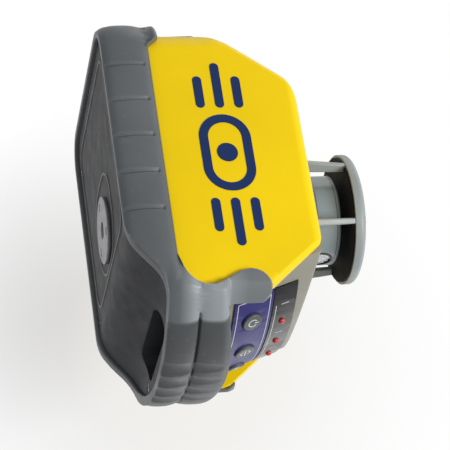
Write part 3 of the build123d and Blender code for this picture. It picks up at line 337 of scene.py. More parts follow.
def bumper_rubber():
    """Satin elastomer: stippled and dusty, with painted highlights on its edges and shoulders, painted
    shade in its hollows and a darker painted shade on the middle of the grip.
    """
    colour = tuple(finishes().rubber)
    material, tree, shader, place = begin("bumper rubber")
    drift = drifting(tree, place, colour, 14.0, 4.0, 0.86, 1.12)
    # Painted highlight: convex edges, found by their pointiness, are paled towards a much lighter copy of
    # the rubber.
    edges = put(tree, "ShaderNodeNewGeometry").outputs["Pointiness"]
    painted_edge_highlight = spread(tree, edges, 0.0, 0.55, 0.515, 0.57)
    edge_highlit_tone = mix(tree, painted_edge_highlight, drift, shade(colour, 1.9))
    # Painted shade: hollows, found by their low pointiness, are darkened towards a darker copy of the
    # rubber.
    painted_hollow_shade = spread(tree, edges, 0.6, 0.0, 0.42, 0.485)
    hollow_shaded_tone = mix(tree, painted_hollow_shade, edge_highlit_tone, shade(colour, 0.42))
    across, along, upward = put(tree, "ShaderNodeSeparateXYZ", Vector=place).outputs
    aside = put(tree, "ShaderNodeMath", {"operation": "ABSOLUTE"}, Value=across).outputs["Value"]
    ahead = spread(tree, along, 1.0, 0.0, *GRIP_FADE)
    foot = spread(tree, upward, 0.0, 1.0, *SHOULDER_FOOT)
    raised = both(tree, foot, spread(tree, upward, 1.0, 0.25, *SHOULDER_TOP))
    # Painted highlight: the shoulders of the arms at the front are paled towards a much lighter copy of the
    # rubber.
    painted_shoulder_highlight = both(tree, both(tree, ahead, raised), spread(tree, aside, 0.0, 1.0, *SHOULDER_EDGE))
    shoulder_highlit_tone = mix(tree, painted_shoulder_highlight, hollow_shaded_tone, shade(colour, 2.5))
    # Painted shade: the middle of the grip at the front is darkened towards a darker copy of the rubber.
    painted_grip_shade = both(tree, ahead, spread(tree, aside, 0.85, 0.0, *SHOULDER_EDGE))
    lit_and_shaded_tone = mix(tree, painted_grip_shade, shoulder_highlit_tone, shade(colour, 0.42))
    dust = spread(tree, noise(tree, place, 130.0, 6.0, 0.7), 0.0, 0.22, 0.58, 0.75)
    link(tree, mix(tree, dust, lit_and_shaded_tone, (0.24, 0.235, 0.22)), shader, "Base Color")
    shader.inputs["Specular IOR Level"].default_value = 0.32
    handle(tree, place, shader, 40.0, 5.0, 0.36, 0.52)
    stipple = put(tree, "ShaderNodeTexVoronoi", Vector=place, Scale=900.0).outputs["Distance"]
    link(tree, bump(tree, stipple, 0.05 * MM, 0.35), shader, "Normal")
    return material


def smoked_film(name, colour):
    """Glossy smoked film with faint finger smears."""
    material, tree, shader, place = begin(name)
    link(tree, drifting(tree, place, colour, 30.0, 3.0, 0.8, 1.4), shader, "Base Color")
    handle(tree, place, shader, 70.0, 5.0, 0.16, 0.3)
    shader.inputs["Specular IOR Level"].default_value = 0.35
    return material


def metal(name, colour, roughness, lines=0.0):
    """Bare metal, with turning or brushing lines across Z where asked."""
    material, tree, shader, place = begin(name)
    shader.inputs["Metallic"].default_value = 1.0
    link(tree, drifting(tree, place, colour, 60.0, 4.0, 0.86, 1.08), shader, "Base Color")
    handle(tree, place, shader, 150.0, 5.0, roughness - 0.06, roughness + 0.1)
    stretched = put(tree, "ShaderNodeMapping", Vector=place, Scale=(1.0, 1.0, 14.0)).outputs["Vector"]
    fine = noise(tree, stretched, 420.0, 2.0)
    link(tree, bump(tree, fine, 0.02 * MM, 0.15 + lines), shader, "Normal")
    return material


def clear_glass(name, colour):
    """Coated glass."""
    material, tree, shader, place = begin(name)
    shader.inputs["Transmission Weight"].default_value = 1.0
    shader.inputs["IOR"].default_value = 1.5
    shader.inputs["Coat Weight"].default_value = 0.4
    handle(tree, place, shader, 90.0, 4.0, 0.02, 0.07, 0.5)
    link(tree, drifting(tree, place, colour, 30.0, 2.0, 0.95, 1.0), shader, "Base Color")
    return material


# Meshes


def rounded_ring(corners):
    """Closed outline through corners given as x, y, radius and steps."""
    points = []
    count = len(corners)
    for index, (x, y, radius, steps) in enumerate(corners):
        here = Vector((x, y))
        if not steps:
            points.append(here)
            continue
        before = (here - Vector(corners[index - 1][:2])).normalized()
        after = (Vector(corners[(index + 1) % count][:2]) - here).normalized()
        turn = math.atan2(before.x * after.y - before.y * after.x, before.dot(after))
        start = here - before * radius * math.tan(abs(turn) / 2)
        side = Vector((-before.y, before.x)) * math.copysign(radius, turn)
        centre = start + side
        for step in range(steps + 1):
            points.append(centre + Matrix.Rotation(turn * step / steps, 2) @ (start - centre))
    return points


def lay_ring(mesh, points, z):
    """Vertices of one outline at a height."""
    return [mesh.verts.new((point.x, point.y, z)) for point in points]


def join_rings(mesh, low, high, skip=()):
    """Quads between two rings of vertices."""
    count = len(low)
    for index in range(count):
        if index in skip:
            continue
        after = (index + 1) % count
        mesh.faces.new((low[index], low[after], high[after], high[index]))


def stack_rings(mesh, rings):
    """Quads from each ring of vertices to the next."""
    for low, high in zip(rings, rings[1:]):
        join_rings(mesh, low, high)


def lay_band(mesh, first, second, lift):
    """A closed band between two rails of points, thickened along each point's own direction."""
    rows = []
    for rail in (first, second):
        rows.append([mesh.verts.new(point) for point, outward in rail])
        rows.append([mesh.verts.new(point + outward * lift) for point, outward in rail])
    low_a, high_a, low_b, high_b = rows
    for one, two in ((low_a, low_b), (low_b, high_b), (high_b, high_a), (high_a, low_a)):
        for index in range(len(one) - 1):
            mesh.faces.new((one[index], one[index + 1], two[index + 1], two[index]))
    for end in (0, -1):
        mesh.faces.new((low_a[end], low_b[end], high_b[end], high_a[end]))


def flat_rail(points, frame_here):
    """Points of a flat drawing, set on a frame whose Z is outward."""
    outward = (frame_here.to_3x3() @ Vector((0, 0, 1))).normalized()
    return [(frame_here @ Vector((x, y, 0)), outward) for x, y in points]


def arc(radius, start, end, steps=16):
    """Points on an arc, in degrees from the right."""
    turns = [math.radians(start + (end - start) * step / steps) for step in range(steps + 1)]
    return [(radius * math.cos(turn), radius * math.sin(turn)) for turn in turns]


def circle(radius, steps):
    """Points all round, without the first again."""
    return arc(radius, 0, 360, steps)[:-1]


def draw_bar(mesh, here, x0, y0, x1, y1, width, lift):
    """A straight stroke."""
    along = Vector((x1 - x0, y1 - y0)).normalized()
    side = Vector((-along.y, along.x)) * width / 2
    first = [(x0 + side.x, y0 + side.y), (x1 + side.x, y1 + side.y)]
    second = [(x0 - side.x, y0 - side.y), (x1 - side.x, y1 - side.y)]
    lay_band(mesh, flat_rail(first, here), flat_rail(second, here), lift)


def draw_arc(mesh, here, radius, start, end, width, lift):
    """A curved stroke."""
    first = arc(radius + width / 2, start, end)
    second = arc(radius - width / 2, start, end)
    lay_band(mesh, flat_rail(first, here), flat_rail(second, here), lift)


def console_radius(z):
    """Radius of the keypad's face at a height."""
    form = shapes()
    return form.console_r + (CONSOLE_BOX[1].z - z) * math.tan(form.console_lean)


def console_spot(turn, z, lift):
    """A point over the keypad's face, and the direction out of it."""
    lean = shapes().console_lean
    axis = CONSOLE_BOX[0].y + console_radius(CONSOLE_BOX[0].z)
    radius = console_radius(z)
    level = math.cos(lean)
    outward = Vector((level * math.sin(turn), -level * math.cos(turn), math.sin(lean)))
    base = Vector((radius * math.sin(turn), axis - radius * math.cos(turn), z))
    return base + outward * lift, outward


def console_frame(turn, z, lift):
    """A frame on the keypad's face: X along it, Y up it, Z out of it."""
    spot, outward = console_spot(turn, z, lift)
    along = Vector((math.cos(turn), math.sin(turn), 0))
    axes = Matrix((along, outward.cross(along), outward)).transposed()
    return Matrix.Translation(spot) @ axes.to_4x4()


LINE_STEPS = 24


def console_line(mesh, x0, z0, x1, z1, width, lift, thick):
    """A stroke that follows the bowed face, level or upright."""
    level = abs(z1 - z0) < abs(x1 - x0)
    rails = []
    for side in (-0.5, 0.5):
        rail = []
        for step in range(LINE_STEPS + 1):
            share = step / LINE_STEPS
            x = x0 + (x1 - x0) * share + (0.0 if level else side * width)
            z = z0 + (z1 - z0) * share + (side * width if level else 0.0)
            rail.append(console_spot(math.asin(x / console_radius(z)), z, lift))
        rails.append(rail)
    lay_band(mesh, rails[0], rails[1], thick)


def place_piece(name, mesh, material, body, nodes=()):
    """Turns a bmesh into a piece that rides on a body and stands for CAD nodes."""
    bmesh.ops.recalc_face_normals(mesh, faces=mesh.faces)
    data = bpy.data.meshes.new(name)
    mesh.to_mesh(data)
    mesh.free()
    return settle(bpy.data.objects.new(name, data), material, body, nodes, HARD_ANGLE)


def settle(piece, material, body, nodes, sharp):
    """Links, shades and hands a piece to its body."""
    if piece.name not in bpy.context.scene.collection.objects:
        bpy.context.scene.collection.objects.link(piece)
    piece.data.materials.clear()
    piece.data.materials.append(material)
    piece.data.shade_smooth()
    piece.data.set_sharp_from_angle(angle=sharp)
    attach(piece, body)
    if nodes:
        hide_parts(*nodes)
    return piece


MELT_PASSES = 5
MELT_FACTOR = 0.5
MELT_KEPT = 0.4  # share of the faces that is kept


def softened(node, name, voxel):
    """A copy of a CAD node with its edges melted, as moulded rubber has them."""
    piece = bpy.data.objects.new(name, NODES[node].data.copy())
    bpy.context.scene.collection.objects.link(piece)
    remesh = piece.modifiers.new("Remesh", "REMESH")
    remesh.mode = "VOXEL"
    remesh.voxel_size = voxel
    smooth = piece.modifiers.new("Smooth", "SMOOTH")
    smooth.factor = MELT_FACTOR
    smooth.iterations = MELT_PASSES
    fewer = piece.modifiers.new("Fewer", "DECIMATE")
    fewer.ratio = MELT_KEPT
    bpy.context.view_layer.update()
    ready = piece.evaluated_get(bpy.context.evaluated_depsgraph_get())
    data = bpy.data.meshes.new_from_object(ready)
    piece.modifiers.clear()
    piece.data = data
    return piece


def dress(material, *nodes, edge=None):
    """Gives CAD nodes a finish, and a bevel on their hard edges where one is asked."""
    for node in nodes:
        thing = NODES[node]
        thing.data.materials.clear()
        thing.data.materials.append(material)
        if not edge:
            continue
        weld = thing.modifiers.new("Weld", "WELD")
        weld.merge_threshold = SAME_POINT
        flats = thing.modifiers.new("Flats", "DECIMATE")
        flats.decimate_type = "DISSOLVE"
        flats.angle_limit = FLAT_ANGLE
        bevel = thing.modifiers.new("Edges", "BEVEL")
        bevel.width = edge
        bevel.segments = 3
        bevel.limit_method = "ANGLE"
        bevel.angle_limit = BEVEL_ANGLE
        bevel.harden_normals = True


# Case


LIP_STEPS = 2
CHEEK_STEPS = 12
CORNER_STEPS = 10
FRONT_STEPS = 4
KNEE_ROWS = 3
SLOPE_ROWS = 8
DECK_ROWS = 9
LUG_STEPS = 8
DOOR_COLUMN = (LIP_STEPS + 1) + CHEEK_STEPS + (CORNER_STEPS + 1)  # where the outline passes the opening

LIP_R = 0.8 * MM  # rounding where a cheek turns in to the console
LEDGE = 0.6 * MM  # least step from a cheek's edge back to the console's room
CHEEK_LEAST = 0.3 * MM  # least width of a cheek
NOTCH_RISE = 0.1 * MM  # height in which the outline steps back to the console's room
HIDDEN_GAP = 0.5 * MM  # from the bowed front in to the wall behind the rubber
DOOR_EDGE = 2.5 * MM  # from the tray's edges in to the battery opening
WALL = 3 * MM  # depth of the turned-in edges of openings
LUG_R = 2.2 * MM
LUG_ROOT = 1 * MM
LUG_SPAN = (50.3 * MM, 58 * MM)


def half_width(z):
    """Half width of the leaning case at a height."""
    low, high = HOUSING_BOX[0].z, HOUSING_BOX[1].z
    return HOUSING_BOX[1].x - shapes().side_lean * (z - low) / (high - low)


def rounding(z, run, radius):
    """How far a fillet under the deck stands in from a slope that moves in by run for each unit up."""
    deck = HOUSING_BOX[1].z
    slope = math.atan2(1.0, run)
    tangent = radius * math.tan(slope / 2)
    if z <= deck - tangent * math.sin(slope):
        return 0.0
    rise = z - (deck - radius)
    arc_at = math.sqrt(max(0.0, radius * radius - rise * rise))
    return tangent + (deck - z) * run - arc_at


def rear_wall(z):
    """Y of the rear wall, with its rounded knee."""
    form = shapes()
    run = (PAN_BOX[1].y - form.deck_rear) / (HOUSING_BOX[1].z - form.knee_z)
    above = z - form.knee_z
    if above >= form.knee_round:
        return PAN_BOX[1].y - run * above - rounding(z, run, form.rear_round)
    if above <= -form.knee_round:
        return PAN_BOX[1].y
    share = (above + form.knee_round) / (2 * form.knee_round)
    return PAN_BOX[1].y - run * form.knee_round * share * share


def front_slope(z):
    """Y of the sloping edge of the cheeks."""
    form = shapes()
    run = (form.deck_front - PAN_BOX[0].y) / (HOUSING_BOX[1].z - form.slope_foot)
    return form.deck_front - run * (HOUSING_BOX[1].z - z) + rounding(z, run, form.nose_round)


def bowed_front(x, side):
    """Y of the case's bowed front, with its rounded shoulders, at a distance from the middle."""
    form = shapes()
    axis = PAN_BOX[0].y + form.bow_r
    middle = side - form.corner_low
    reach = form.bow_r - form.corner_low
    if x < middle * form.bow_r / reach:
        return axis - math.sqrt(form.bow_r**2 - x * x)
    drop = math.sqrt(max(0.0, form.corner_low**2 - (x - middle) ** 2))
    return axis - math.sqrt(reach**2 - middle**2) - drop


def cheek_line(side, inner, cut):
    """Round one cheek from its side to the console, where its sloping edge cuts it at a Y."""
    form = shapes()
    points = []
    for step in range(CHEEK_STEPS + 1):
        x = inner + (side - inner) * math.cos(math.pi / 2 * step / CHEEK_STEPS)
        over = max(0.0, x - side + form.cheek_round)
        edge = cut + form.cheek_round - math.sqrt(max(0.0, form.cheek_round**2 - over * over))
        front = bowed_front(x, side)
        points.append((x, (edge + front + math.hypot(edge - front, form.seam)) / 2))
    return points


def corner_radius(z):
    """Radius of the rear corners, which tighten over the knee."""
    form = shapes()
    share = min(1.0, max(0.0, (z - form.knee_z + form.knee_round) / (3 * form.knee_round)))
    share = share * share * (3 - 2 * share)
    return form.corner_low + (form.corner_high - form.corner_low) * share


def case_outline(z, inset, notch):
    """The case from above at a height, with the room for the console where it is open."""
    form = shapes()
    side = half_width(z) - inset
    seam = min(inset, form.seam)
    rear = rear_wall(z) - seam * (z < form.knee_z)
    back = CONSOLE_BOX[1].y + seam
    room = LEDGE if z < HOUSING_BOX[1].z - CLOSE else 0.0
    inner = min(CONSOLE_BOX[1].x, side - CHEEK_LEAST)
    cheek = cheek_line(side, inner, min(front_slope(z), back - room))
    turn = cheek[-1][1]
    lip = max(0.0, min(LIP_R, (back - turn) / 2))
    front = []
    for step in range(-FRONT_STEPS, FRONT_STEPS + 1):
        x = inner * step / FRONT_STEPS
        front.append((x, back if notch else bowed_front(abs(x), side) + HIDDEN_GAP, 0, 0))
    door = TRAY_BOX[1].x - DOOR_EDGE
    corner = corner_radius(z)
    return rounded_ring(
        [
            (inner, turn, lip, LIP_STEPS),
            *[(x, y, 0, 0) for x, y in reversed(cheek[:-1])],
            (side, rear, corner, CORNER_STEPS),
            (door, rear, 0, 0),
            (-door, rear, 0, 0),
            (-side, rear, corner, CORNER_STEPS),
            *[(-x, y, 0, 0) for x, y in cheek[:-1]],
            (-inner, turn, lip, LIP_STEPS),
            *front,
        ]
    )


def case_rows():
    """Heights, insets and console notches of the case's outlines, from its seam to its deck."""
    form = shapes()
    low, high = HOUSING_BOX[0].z, HOUSING_BOX[1].z
    ledge = CONSOLE_BOX[0].z
    sill = TRAY_BOX[0].z + DOOR_EDGE
    head = TRAY_BOX[1].z - DOOR_EDGE
    rows = [(low, form.seam, False), (low + form.seam, 0.25 * form.seam, False)]
    rows += [(low + 2 * form.seam, 0.0, False), (sill, 0.0, False)]
    rows += [(ledge - NOTCH_RISE, 0.0, False), (ledge, 0.0, True), (head, 0.0, True)]
    step = form.knee_round / KNEE_ROWS
    rows += [(form.knee_z + step * k, 0.0, True) for k in range(1 - KNEE_ROWS, KNEE_ROWS + 1)]
    top = high - form.deck_round
    start = form.knee_z + form.knee_round
    rows += [(start + (top - start) * k / SLOPE_ROWS, 0.0, True) for k in range(1, SLOPE_ROWS + 1)]
    for k in range(1, DECK_ROWS + 1):
        turn = math.radians(90 * k / DECK_ROWS)
        rows.append((top + form.deck_round * math.sin(turn), form.deck_round * (1 - math.cos(turn)), True))
    return rows, sill, head


def hinge_lug(mesh, x0, x1):
    """A lug that holds the door's hinge pin."""
    middle = (PIN_BOX[0] + PIN_BOX[1]) / 2
    root = PAN_BOX[1].y - LUG_ROOT
    profile = [(root, -LUG_R), (middle.y, -LUG_R)]
    for step in range(1, LUG_STEPS):
        turn = math.radians(-90 + 180 * step / LUG_STEPS)
        profile.append((middle.y + LUG_R * math.cos(turn), LUG_R * math.sin(turn)))
    profile += [(middle.y, LUG_R), (root, LUG_R)]
    rings = [[mesh.verts.new((x, y, middle.z + z)) for y, z in profile] for x in (x0, x1)]
    join_rings(mesh, *rings)
    mesh.faces.new(rings[0])
    mesh.faces.new(rings[1])


class LEVEL_OT_housing(bpy.types.Operator):
    """Upper case moulding, with its deck, cheeks, battery opening and hinge lugs"""

    bl_idname = "level.housing"
    bl_label = "Upper Housing"

    def execute(self, context):
        form = shapes()
        mesh = bmesh.new()
        rows, sill, head = case_rows()
        rings = [lay_ring(mesh, case_outline(z, inset, notch), z) for z, inset, notch in rows]
        for (low_row, low), (high_row, high) in zip(zip(rows, rings), zip(rows[1:], rings[1:])):
            open_here = low_row[0] >= sill - CLOSE and high_row[0] <= head + CLOSE
            join_rings(mesh, low, high, (DOOR_COLUMN,) if open_here else ())
        deck = HOUSING_BOX[1].z
        well = [Vector(point) for point in circle(form.well_r, 64)]
        join_rings(mesh, lay_ring(mesh, well, deck), lay_ring(mesh, well, deck - WALL))
        door = TRAY_BOX[1].x - DOOR_EDGE
        corners = ((door, sill), (-door, sill), (-door, head), (door, head))
        frame_rows = []
        for y in (PAN_BOX[1].y, PAN_BOX[1].y - WALL):
            frame_rows.append([mesh.verts.new((x, y, z)) for x, z in corners])
        join_rings(mesh, *frame_rows)
        for side in (-1, 1):
            hinge_lug(mesh, side * LUG_SPAN[0], side * LUG_SPAN[1])
        bmesh.ops.remove_doubles(mesh, verts=mesh.verts, dist=CLOSE)
        bmesh.ops.dissolve_degenerate(mesh, dist=CLOSE, edges=mesh.edges)
        open_edges = [edge for edge in mesh.edges if edge.is_boundary]
        rims = [edge for edge in open_edges if min(end.co.z for end in edge.verts) > deck - CLOSE]
        bmesh.ops.triangle_fill(mesh, use_beauty=True, edges=rims, normal=(0, 0, 1))
        piece = place_piece(
            "housing_shell", mesh, yellow_plastic(), "case", ("upper_housing",)
        )
        piece.modifiers.new("Flat faces", "WEIGHTED_NORMAL").keep_sharp = True
        dress(moulded("gasket rubber", SOFT_BLACK, 0.6), "housing_gasket")
        self.stud_bush()
        return {"FINISHED"}

    def stud_bush(self):
        """Brass bush that takes the door knob's stud."""
        middle = (KNOB_BOX[0] + KNOB_BOX[1]) / 2
        mesh = bmesh.new()
        rings = []
        for radius, y in ((4.8, -0.4), (4.8, 0.05), (4.5, 0.25), (3.3, 0.25), (3.1, 0.05), (3.1, -6.0)):
            points = circle(radius * MM, 32)
            rings.append([mesh.verts.new((x, PAN_BOX[1].y + y * MM, middle.z + z)) for x, z in points])
        stack_rings(mesh, rings)
        mesh.faces.new(rings[-1])
        place_piece("stud_bush", mesh, metal("bush brass", (0.62, 0.45, 0.2), 0.35), "case")


def ease(value, start, end):
    """0 before start, 1 after end, smooth between."""
    share = min(1.0, max(0.0, (value - start) / (end - start)))
    return share * share * (3 - 2 * share)


CROWN_POWER = 2.4  # how square a bulge is
CROWN_FADE = 9 * MM  # height over a bulge in which its draw fades
GRIP_REACH = (72 * MM, 100 * MM)  # distance to the front where the rim's bulge turns into the grip's
ARM_REACH = (-6 * MM, 4 * MM)  # across, from the console's edge to an arm
ARM_RISE = (52 * MM, 66 * MM)  # heights between the grip and the arms


def crown(z, low, high, depth):
    """How far a bulged band draws in at a height, none at its middle."""
    share = abs(2 * (z - low) / (high - low) - 1)
    return depth * min(1.0, share) ** CROWN_POWER * (1 - ease(z, high, high + CROWN_FADE))


def draw_in(x, y, z):
    """How far the rubber's face draws in: one bulge round the rim, two down the grip, none on the arms."""
    form = shapes()
    rim = crown(z, 0, HOUSING_BOX[0].z, form.rim_crown)
    low, crease, high = form.grip_low, form.grip_crease, form.grip_high
    if z < crease:
        grip = crown(z, low, crease, form.grip_crown)
    else:
        grip = crown(z, crease, high, form.grip_crown)
    share = ease(-y, *GRIP_REACH)
    edge = CONSOLE_BOX[1].x
    arms = ease(abs(x), edge + ARM_REACH[0], edge + ARM_REACH[1]) * ease(z, *ARM_RISE)
    return (rim + (grip - rim) * share) * (1 - arms)


class LEVEL_OT_bumper(bpy.types.Operator):
    """Rubber bumper with its grip and forked arms"""

    bl_idname = "level.bumper"
    bl_label = "Rubber Bumper"

    def execute(self, context):
        piece = softened("rubber_bumper", "bumper_skin", shapes().rubber_voxel)
        outward = [vert.normal.copy() for vert in piece.data.vertices]
        for vert, normal in zip(piece.data.vertices, outward):
            away = Vector((vert.co.x / HOUSING_BOX[1].x, vert.co.y / PAN_BOX[1].y)).dot(normal.xy)
            if away > 0:
                vert.co.xy -= normal.xy * draw_in(*vert.co) * ease(away, 0.1, 0.6)
        settle(piece, bumper_rubber(), "case", ("rubber_bumper",), SOFT_ANGLE)
        return {"FINISHED"}


class LEVEL_OT_base(bpy.types.Operator):
    """Base pan, tripod insert and the screws under the level"""

    bl_idname = "level.base"
    bl_label = "Base"

    def execute(self, context):
        finish = moulded("pan plastic", tuple(finishes().pan), 0.55, 1.2 * MM, 0.05 * MM, specular=0.15)
        dress(finish, "base_pan", edge=shapes().edge)
        dress(metal("anodised insert", (0.16, 0.16, 0.17), 0.38, 0.2), "tripod_insert", edge=FINE_EDGE)
        steel = metal("screw steel", (0.45, 0.45, 0.46), 0.32)
        dress(steel, "housing_screws", "insert_screws", "cap_screws")
        self.beads()
        return {"FINISHED"}

    def beads(self):
        """Raised beads moulded on the pan's flat underside."""
        mesh = bmesh.new()
        face = PAN_BOX[0].z
        for half, front, rear, radius in ((76, -34, 112, 16), (40, -30, 40, 30)):
            rings = []
            for grow, drop in ((1.1, -0.3), (0.8, 0.7), (-0.8, 0.7), (-1.1, -0.3)):
                x, y0, y1 = (half + grow) * MM, (front - grow) * MM, (rear + grow) * MM
                corner = (radius + grow) * MM
                corners = [(*spot, corner, 8) for spot in ((x, y0), (x, y1), (-x, y1), (-x, y0))]
                rings.append(lay_ring(mesh, rounded_ring(corners), face - drop * MM))
            stack_rings(mesh, rings + rings[:1])
        finish = moulded("bead plastic", shade(tuple(finishes().pan), 1.15), 0.45)
        place_piece("pan_beads", mesh, finish, "case")


class LEVEL_OT_console(bpy.types.Operator):
    """Keypad console, its films, indicator lamps and circuit"""

    bl_idname = "level.console"
    bl_label = "Keypad Console"

    def execute(self, context):
        tone = finishes()
        surround = moulded("console plastic", tuple(tone.console), 0.45)
        dress(surround, "keypad_console", edge=shapes().edge)
        film = moulded("key film", tuple(tone.film), 0.36, 0.5 * MM, 0.01 * MM, specular=0.25)
        dress(film, "keypad_panel", edge=FINE_EDGE)
        dress(smoked_film("smoked window", tuple(tone.window)), "indicator_window", edge=FINE_EDGE)
        dress(moulded("lamp lens", (0.55, 0.02, 0.015), 0.15, 1 * MM, 0.005 * MM), "indicator_lamps")
        dress(moulded("flex circuit", tuple(tone.board), 0.4), "keypad_board")
        self.prints()
        return {"FINISHED"}

    def prints(self):
        """Printed border on the key film, and ticks beside the lamps."""
        form = shapes()
        mesh = bmesh.new()
        brush = (0.5 * MM, 1.3 * MM, form.print_t)  # width, height over the face and thickness
        x = PANEL_BOX[1].x - 3.5 * MM
        low, high = PANEL_BOX[0].z + 2.6 * MM, PANEL_BOX[1].z - 2.6 * MM
        for z in (low, high):
            console_line(mesh, -x, z, x, z, *brush)
        for side in (-x, x):
            console_line(mesh, side, low, side, high, *brush)
        middle = (SMOKED_BOX[0].z + SMOKED_BOX[1].z) / 2
        for at in (-46, -13.5, 13.5, 46):
            console_line(mesh, at * MM, middle - 3 * MM, at * MM, middle + 3 * MM, *brush)
        console_line(mesh, -46 * MM, middle - 7 * MM, 46 * MM, middle - 7 * MM, *brush)
        finish = moulded("film print", tuple(finishes().mark), 0.5)
        place_piece("film_prints", mesh, finish, "case")


KEY_STROKE = 0.8 * MM


class LEVEL_OT_keys(bpy.types.Operator):
    """Power, manual and alert keys"""

    bl_idname = "level.keys"
    bl_label = "Keys"

    def execute(self, context):
        finish = moulded("key plastic", tuple(finishes().key), 0.48, 0.6 * MM, 0.03 * MM)
        signs = {
            "power_button": self.power_mark,
            "manual_button": self.slope_mark,
            "alert_button": self.alert_mark,
        }
        dress(finish, *signs, edge=FINE_EDGE)
        form = shapes()
        z = (PANEL_BOX[0].z + PANEL_BOX[1].z) / 2
        mark = moulded("key print", tuple(finishes().mark), 0.5)
        for index, (key, sign) in enumerate(signs.items()):
            mesh = bmesh.new()
            sign(mesh, console_frame((index - 1) * form.key_turn, z, form.key_proud), form.print_t)
            place_piece(key + "_mark", mesh, mark, key)
        return {"FINISHED"}

    def power_mark(self, mesh, here, lift):
        """A broken ring with an upright stroke."""
        draw_arc(mesh, here, 3.4 * MM, 125, 415, KEY_STROKE, lift)
        draw_bar(mesh, here, 0, 1.4 * MM, 0, 4.6 * MM, KEY_STROKE, lift)

    def slope_mark(self, mesh, here, lift):
        """Two arrowheads over and under a level stroke."""
        draw_bar(mesh, here, -4 * MM, 0, 4 * MM, 0, KEY_STROKE, lift)
        for side in (-1, 1):
            for lean in (-1, 1):
                draw_bar(mesh, here, lean * 2.6 * MM, side * 2 * MM, 0, side * 4.4 * MM, KEY_STROKE, lift)

    def alert_mark(self, mesh, here, lift):
        """A dot with two waves on each side."""
        draw_arc(mesh, here, 0.6 * MM, 0, 360, 1.1 * MM, lift)
        for radius in (2.5, 4.3):
            for middle in (0, 180):
                draw_arc(mesh, here, radius * MM, middle - 42, middle + 42, KEY_STROKE, lift)


class LEVEL_OT_labels(bpy.types.Operator):
    """Printed marks on both sides"""

    bl_idname = "level.labels"
    bl_label = "Side Labels"

    def execute(self, context):
        finish = moulded("printed film", tuple(finishes().print_blue), 0.4, specular=0.2)
        dress(finish, "label_left", "label_right", edge=0.1 * MM)
        return {"FINISHED"}


class LEVEL_OT_lighthouse(bpy.types.Operator):
    """Open cage over the rotor"""

    bl_idname = "level.lighthouse"
    bl_label = "Lighthouse"

    def execute(self, context):
        cage = moulded("cage plastic", tuple(finishes().cage), 0.42)
        dress(cage, "lighthouse_ring", "lighthouse_posts", "lighthouse_cap", edge=0.5 * MM)
        liner = moulded("cap liner", (0.004, 0.004, 0.005), 0.7, specular=0.15)
        dress(liner, "cap_liner", edge=FINE_EDGE)
        return {"FINISHED"}


class LEVEL_OT_rotor(bpy.types.Operator):
    """Spinning head, its window, prism and drive"""

    bl_idname = "level.rotor"
    bl_label = "Rotor"

    def execute(self, context):
        dress(moulded("drum plastic", tuple(finishes().drum), 0.3), "rotor_drum", edge=0.4 * MM)
        optics = clear_glass("optical glass", (0.86, 0.93, 0.95))
        dress(optics, "rotor_window", "pentaprism", "collimator_lens")
        dress(clear_glass("vial glass", (0.72, 0.9, 0.35)), "level_vials")
        dress(moulded("pulley plastic", BLACK, 0.45), "rotor_pulley", "motor_pulley")
        dress(moulded("belt rubber", SOFT_BLACK, 0.65), "drive_belt")
        self.bezel()
        self.bands()
        return {"FINISHED"}

    def bezel(self):
        """Raised ring round the exit window."""
        mesh = bmesh.new()
        radius = DRUM_BOX[1].x
        middle = (WINDOW_BOX[0].z + WINDOW_BOX[1].z) / 2
        glass = (WINDOW_BOX[1].x - WINDOW_BOX[0].x) / 2
        rings = []
        for grow, lift in ((0.0, -1.0), (0.0, 0.35), (0.3, 0.55), (1.3, 0.55), (1.6, 0.35), (1.6, -0.2)):
            ring = []
            for x, z in circle(glass + grow * MM, 48):
                face = -math.sqrt(radius * radius - x * x)
                ring.append(mesh.verts.new((x, face - lift * MM, middle + z)))
            rings.append(ring)
        stack_rings(mesh, rings)
        place_piece("window_bezel", mesh, moulded("bezel plastic", BLACK, 0.4), "rotor")

    def bands(self):
        """Painted bands round the drum."""
        mesh = bmesh.new()
        radius = DRUM_BOX[1].x
        for z in (DRUM_BOX[0].z + 2.8 * MM, DRUM_BOX[1].z - 3.6 * MM):
            rings = []
            for grow, rise in ((-0.1, 0.0), (0.18, 0.1), (0.18, 0.7), (-0.1, 0.8)):
                points = [Vector(point) for point in circle(radius + grow * MM, 96)]
                rings.append(lay_ring(mesh, points, z + rise * MM))
            stack_rings(mesh, rings)
        place_piece("drum_bands", mesh, moulded("band paint", (0.1, 0.11, 0.12), 0.4), "rotor")


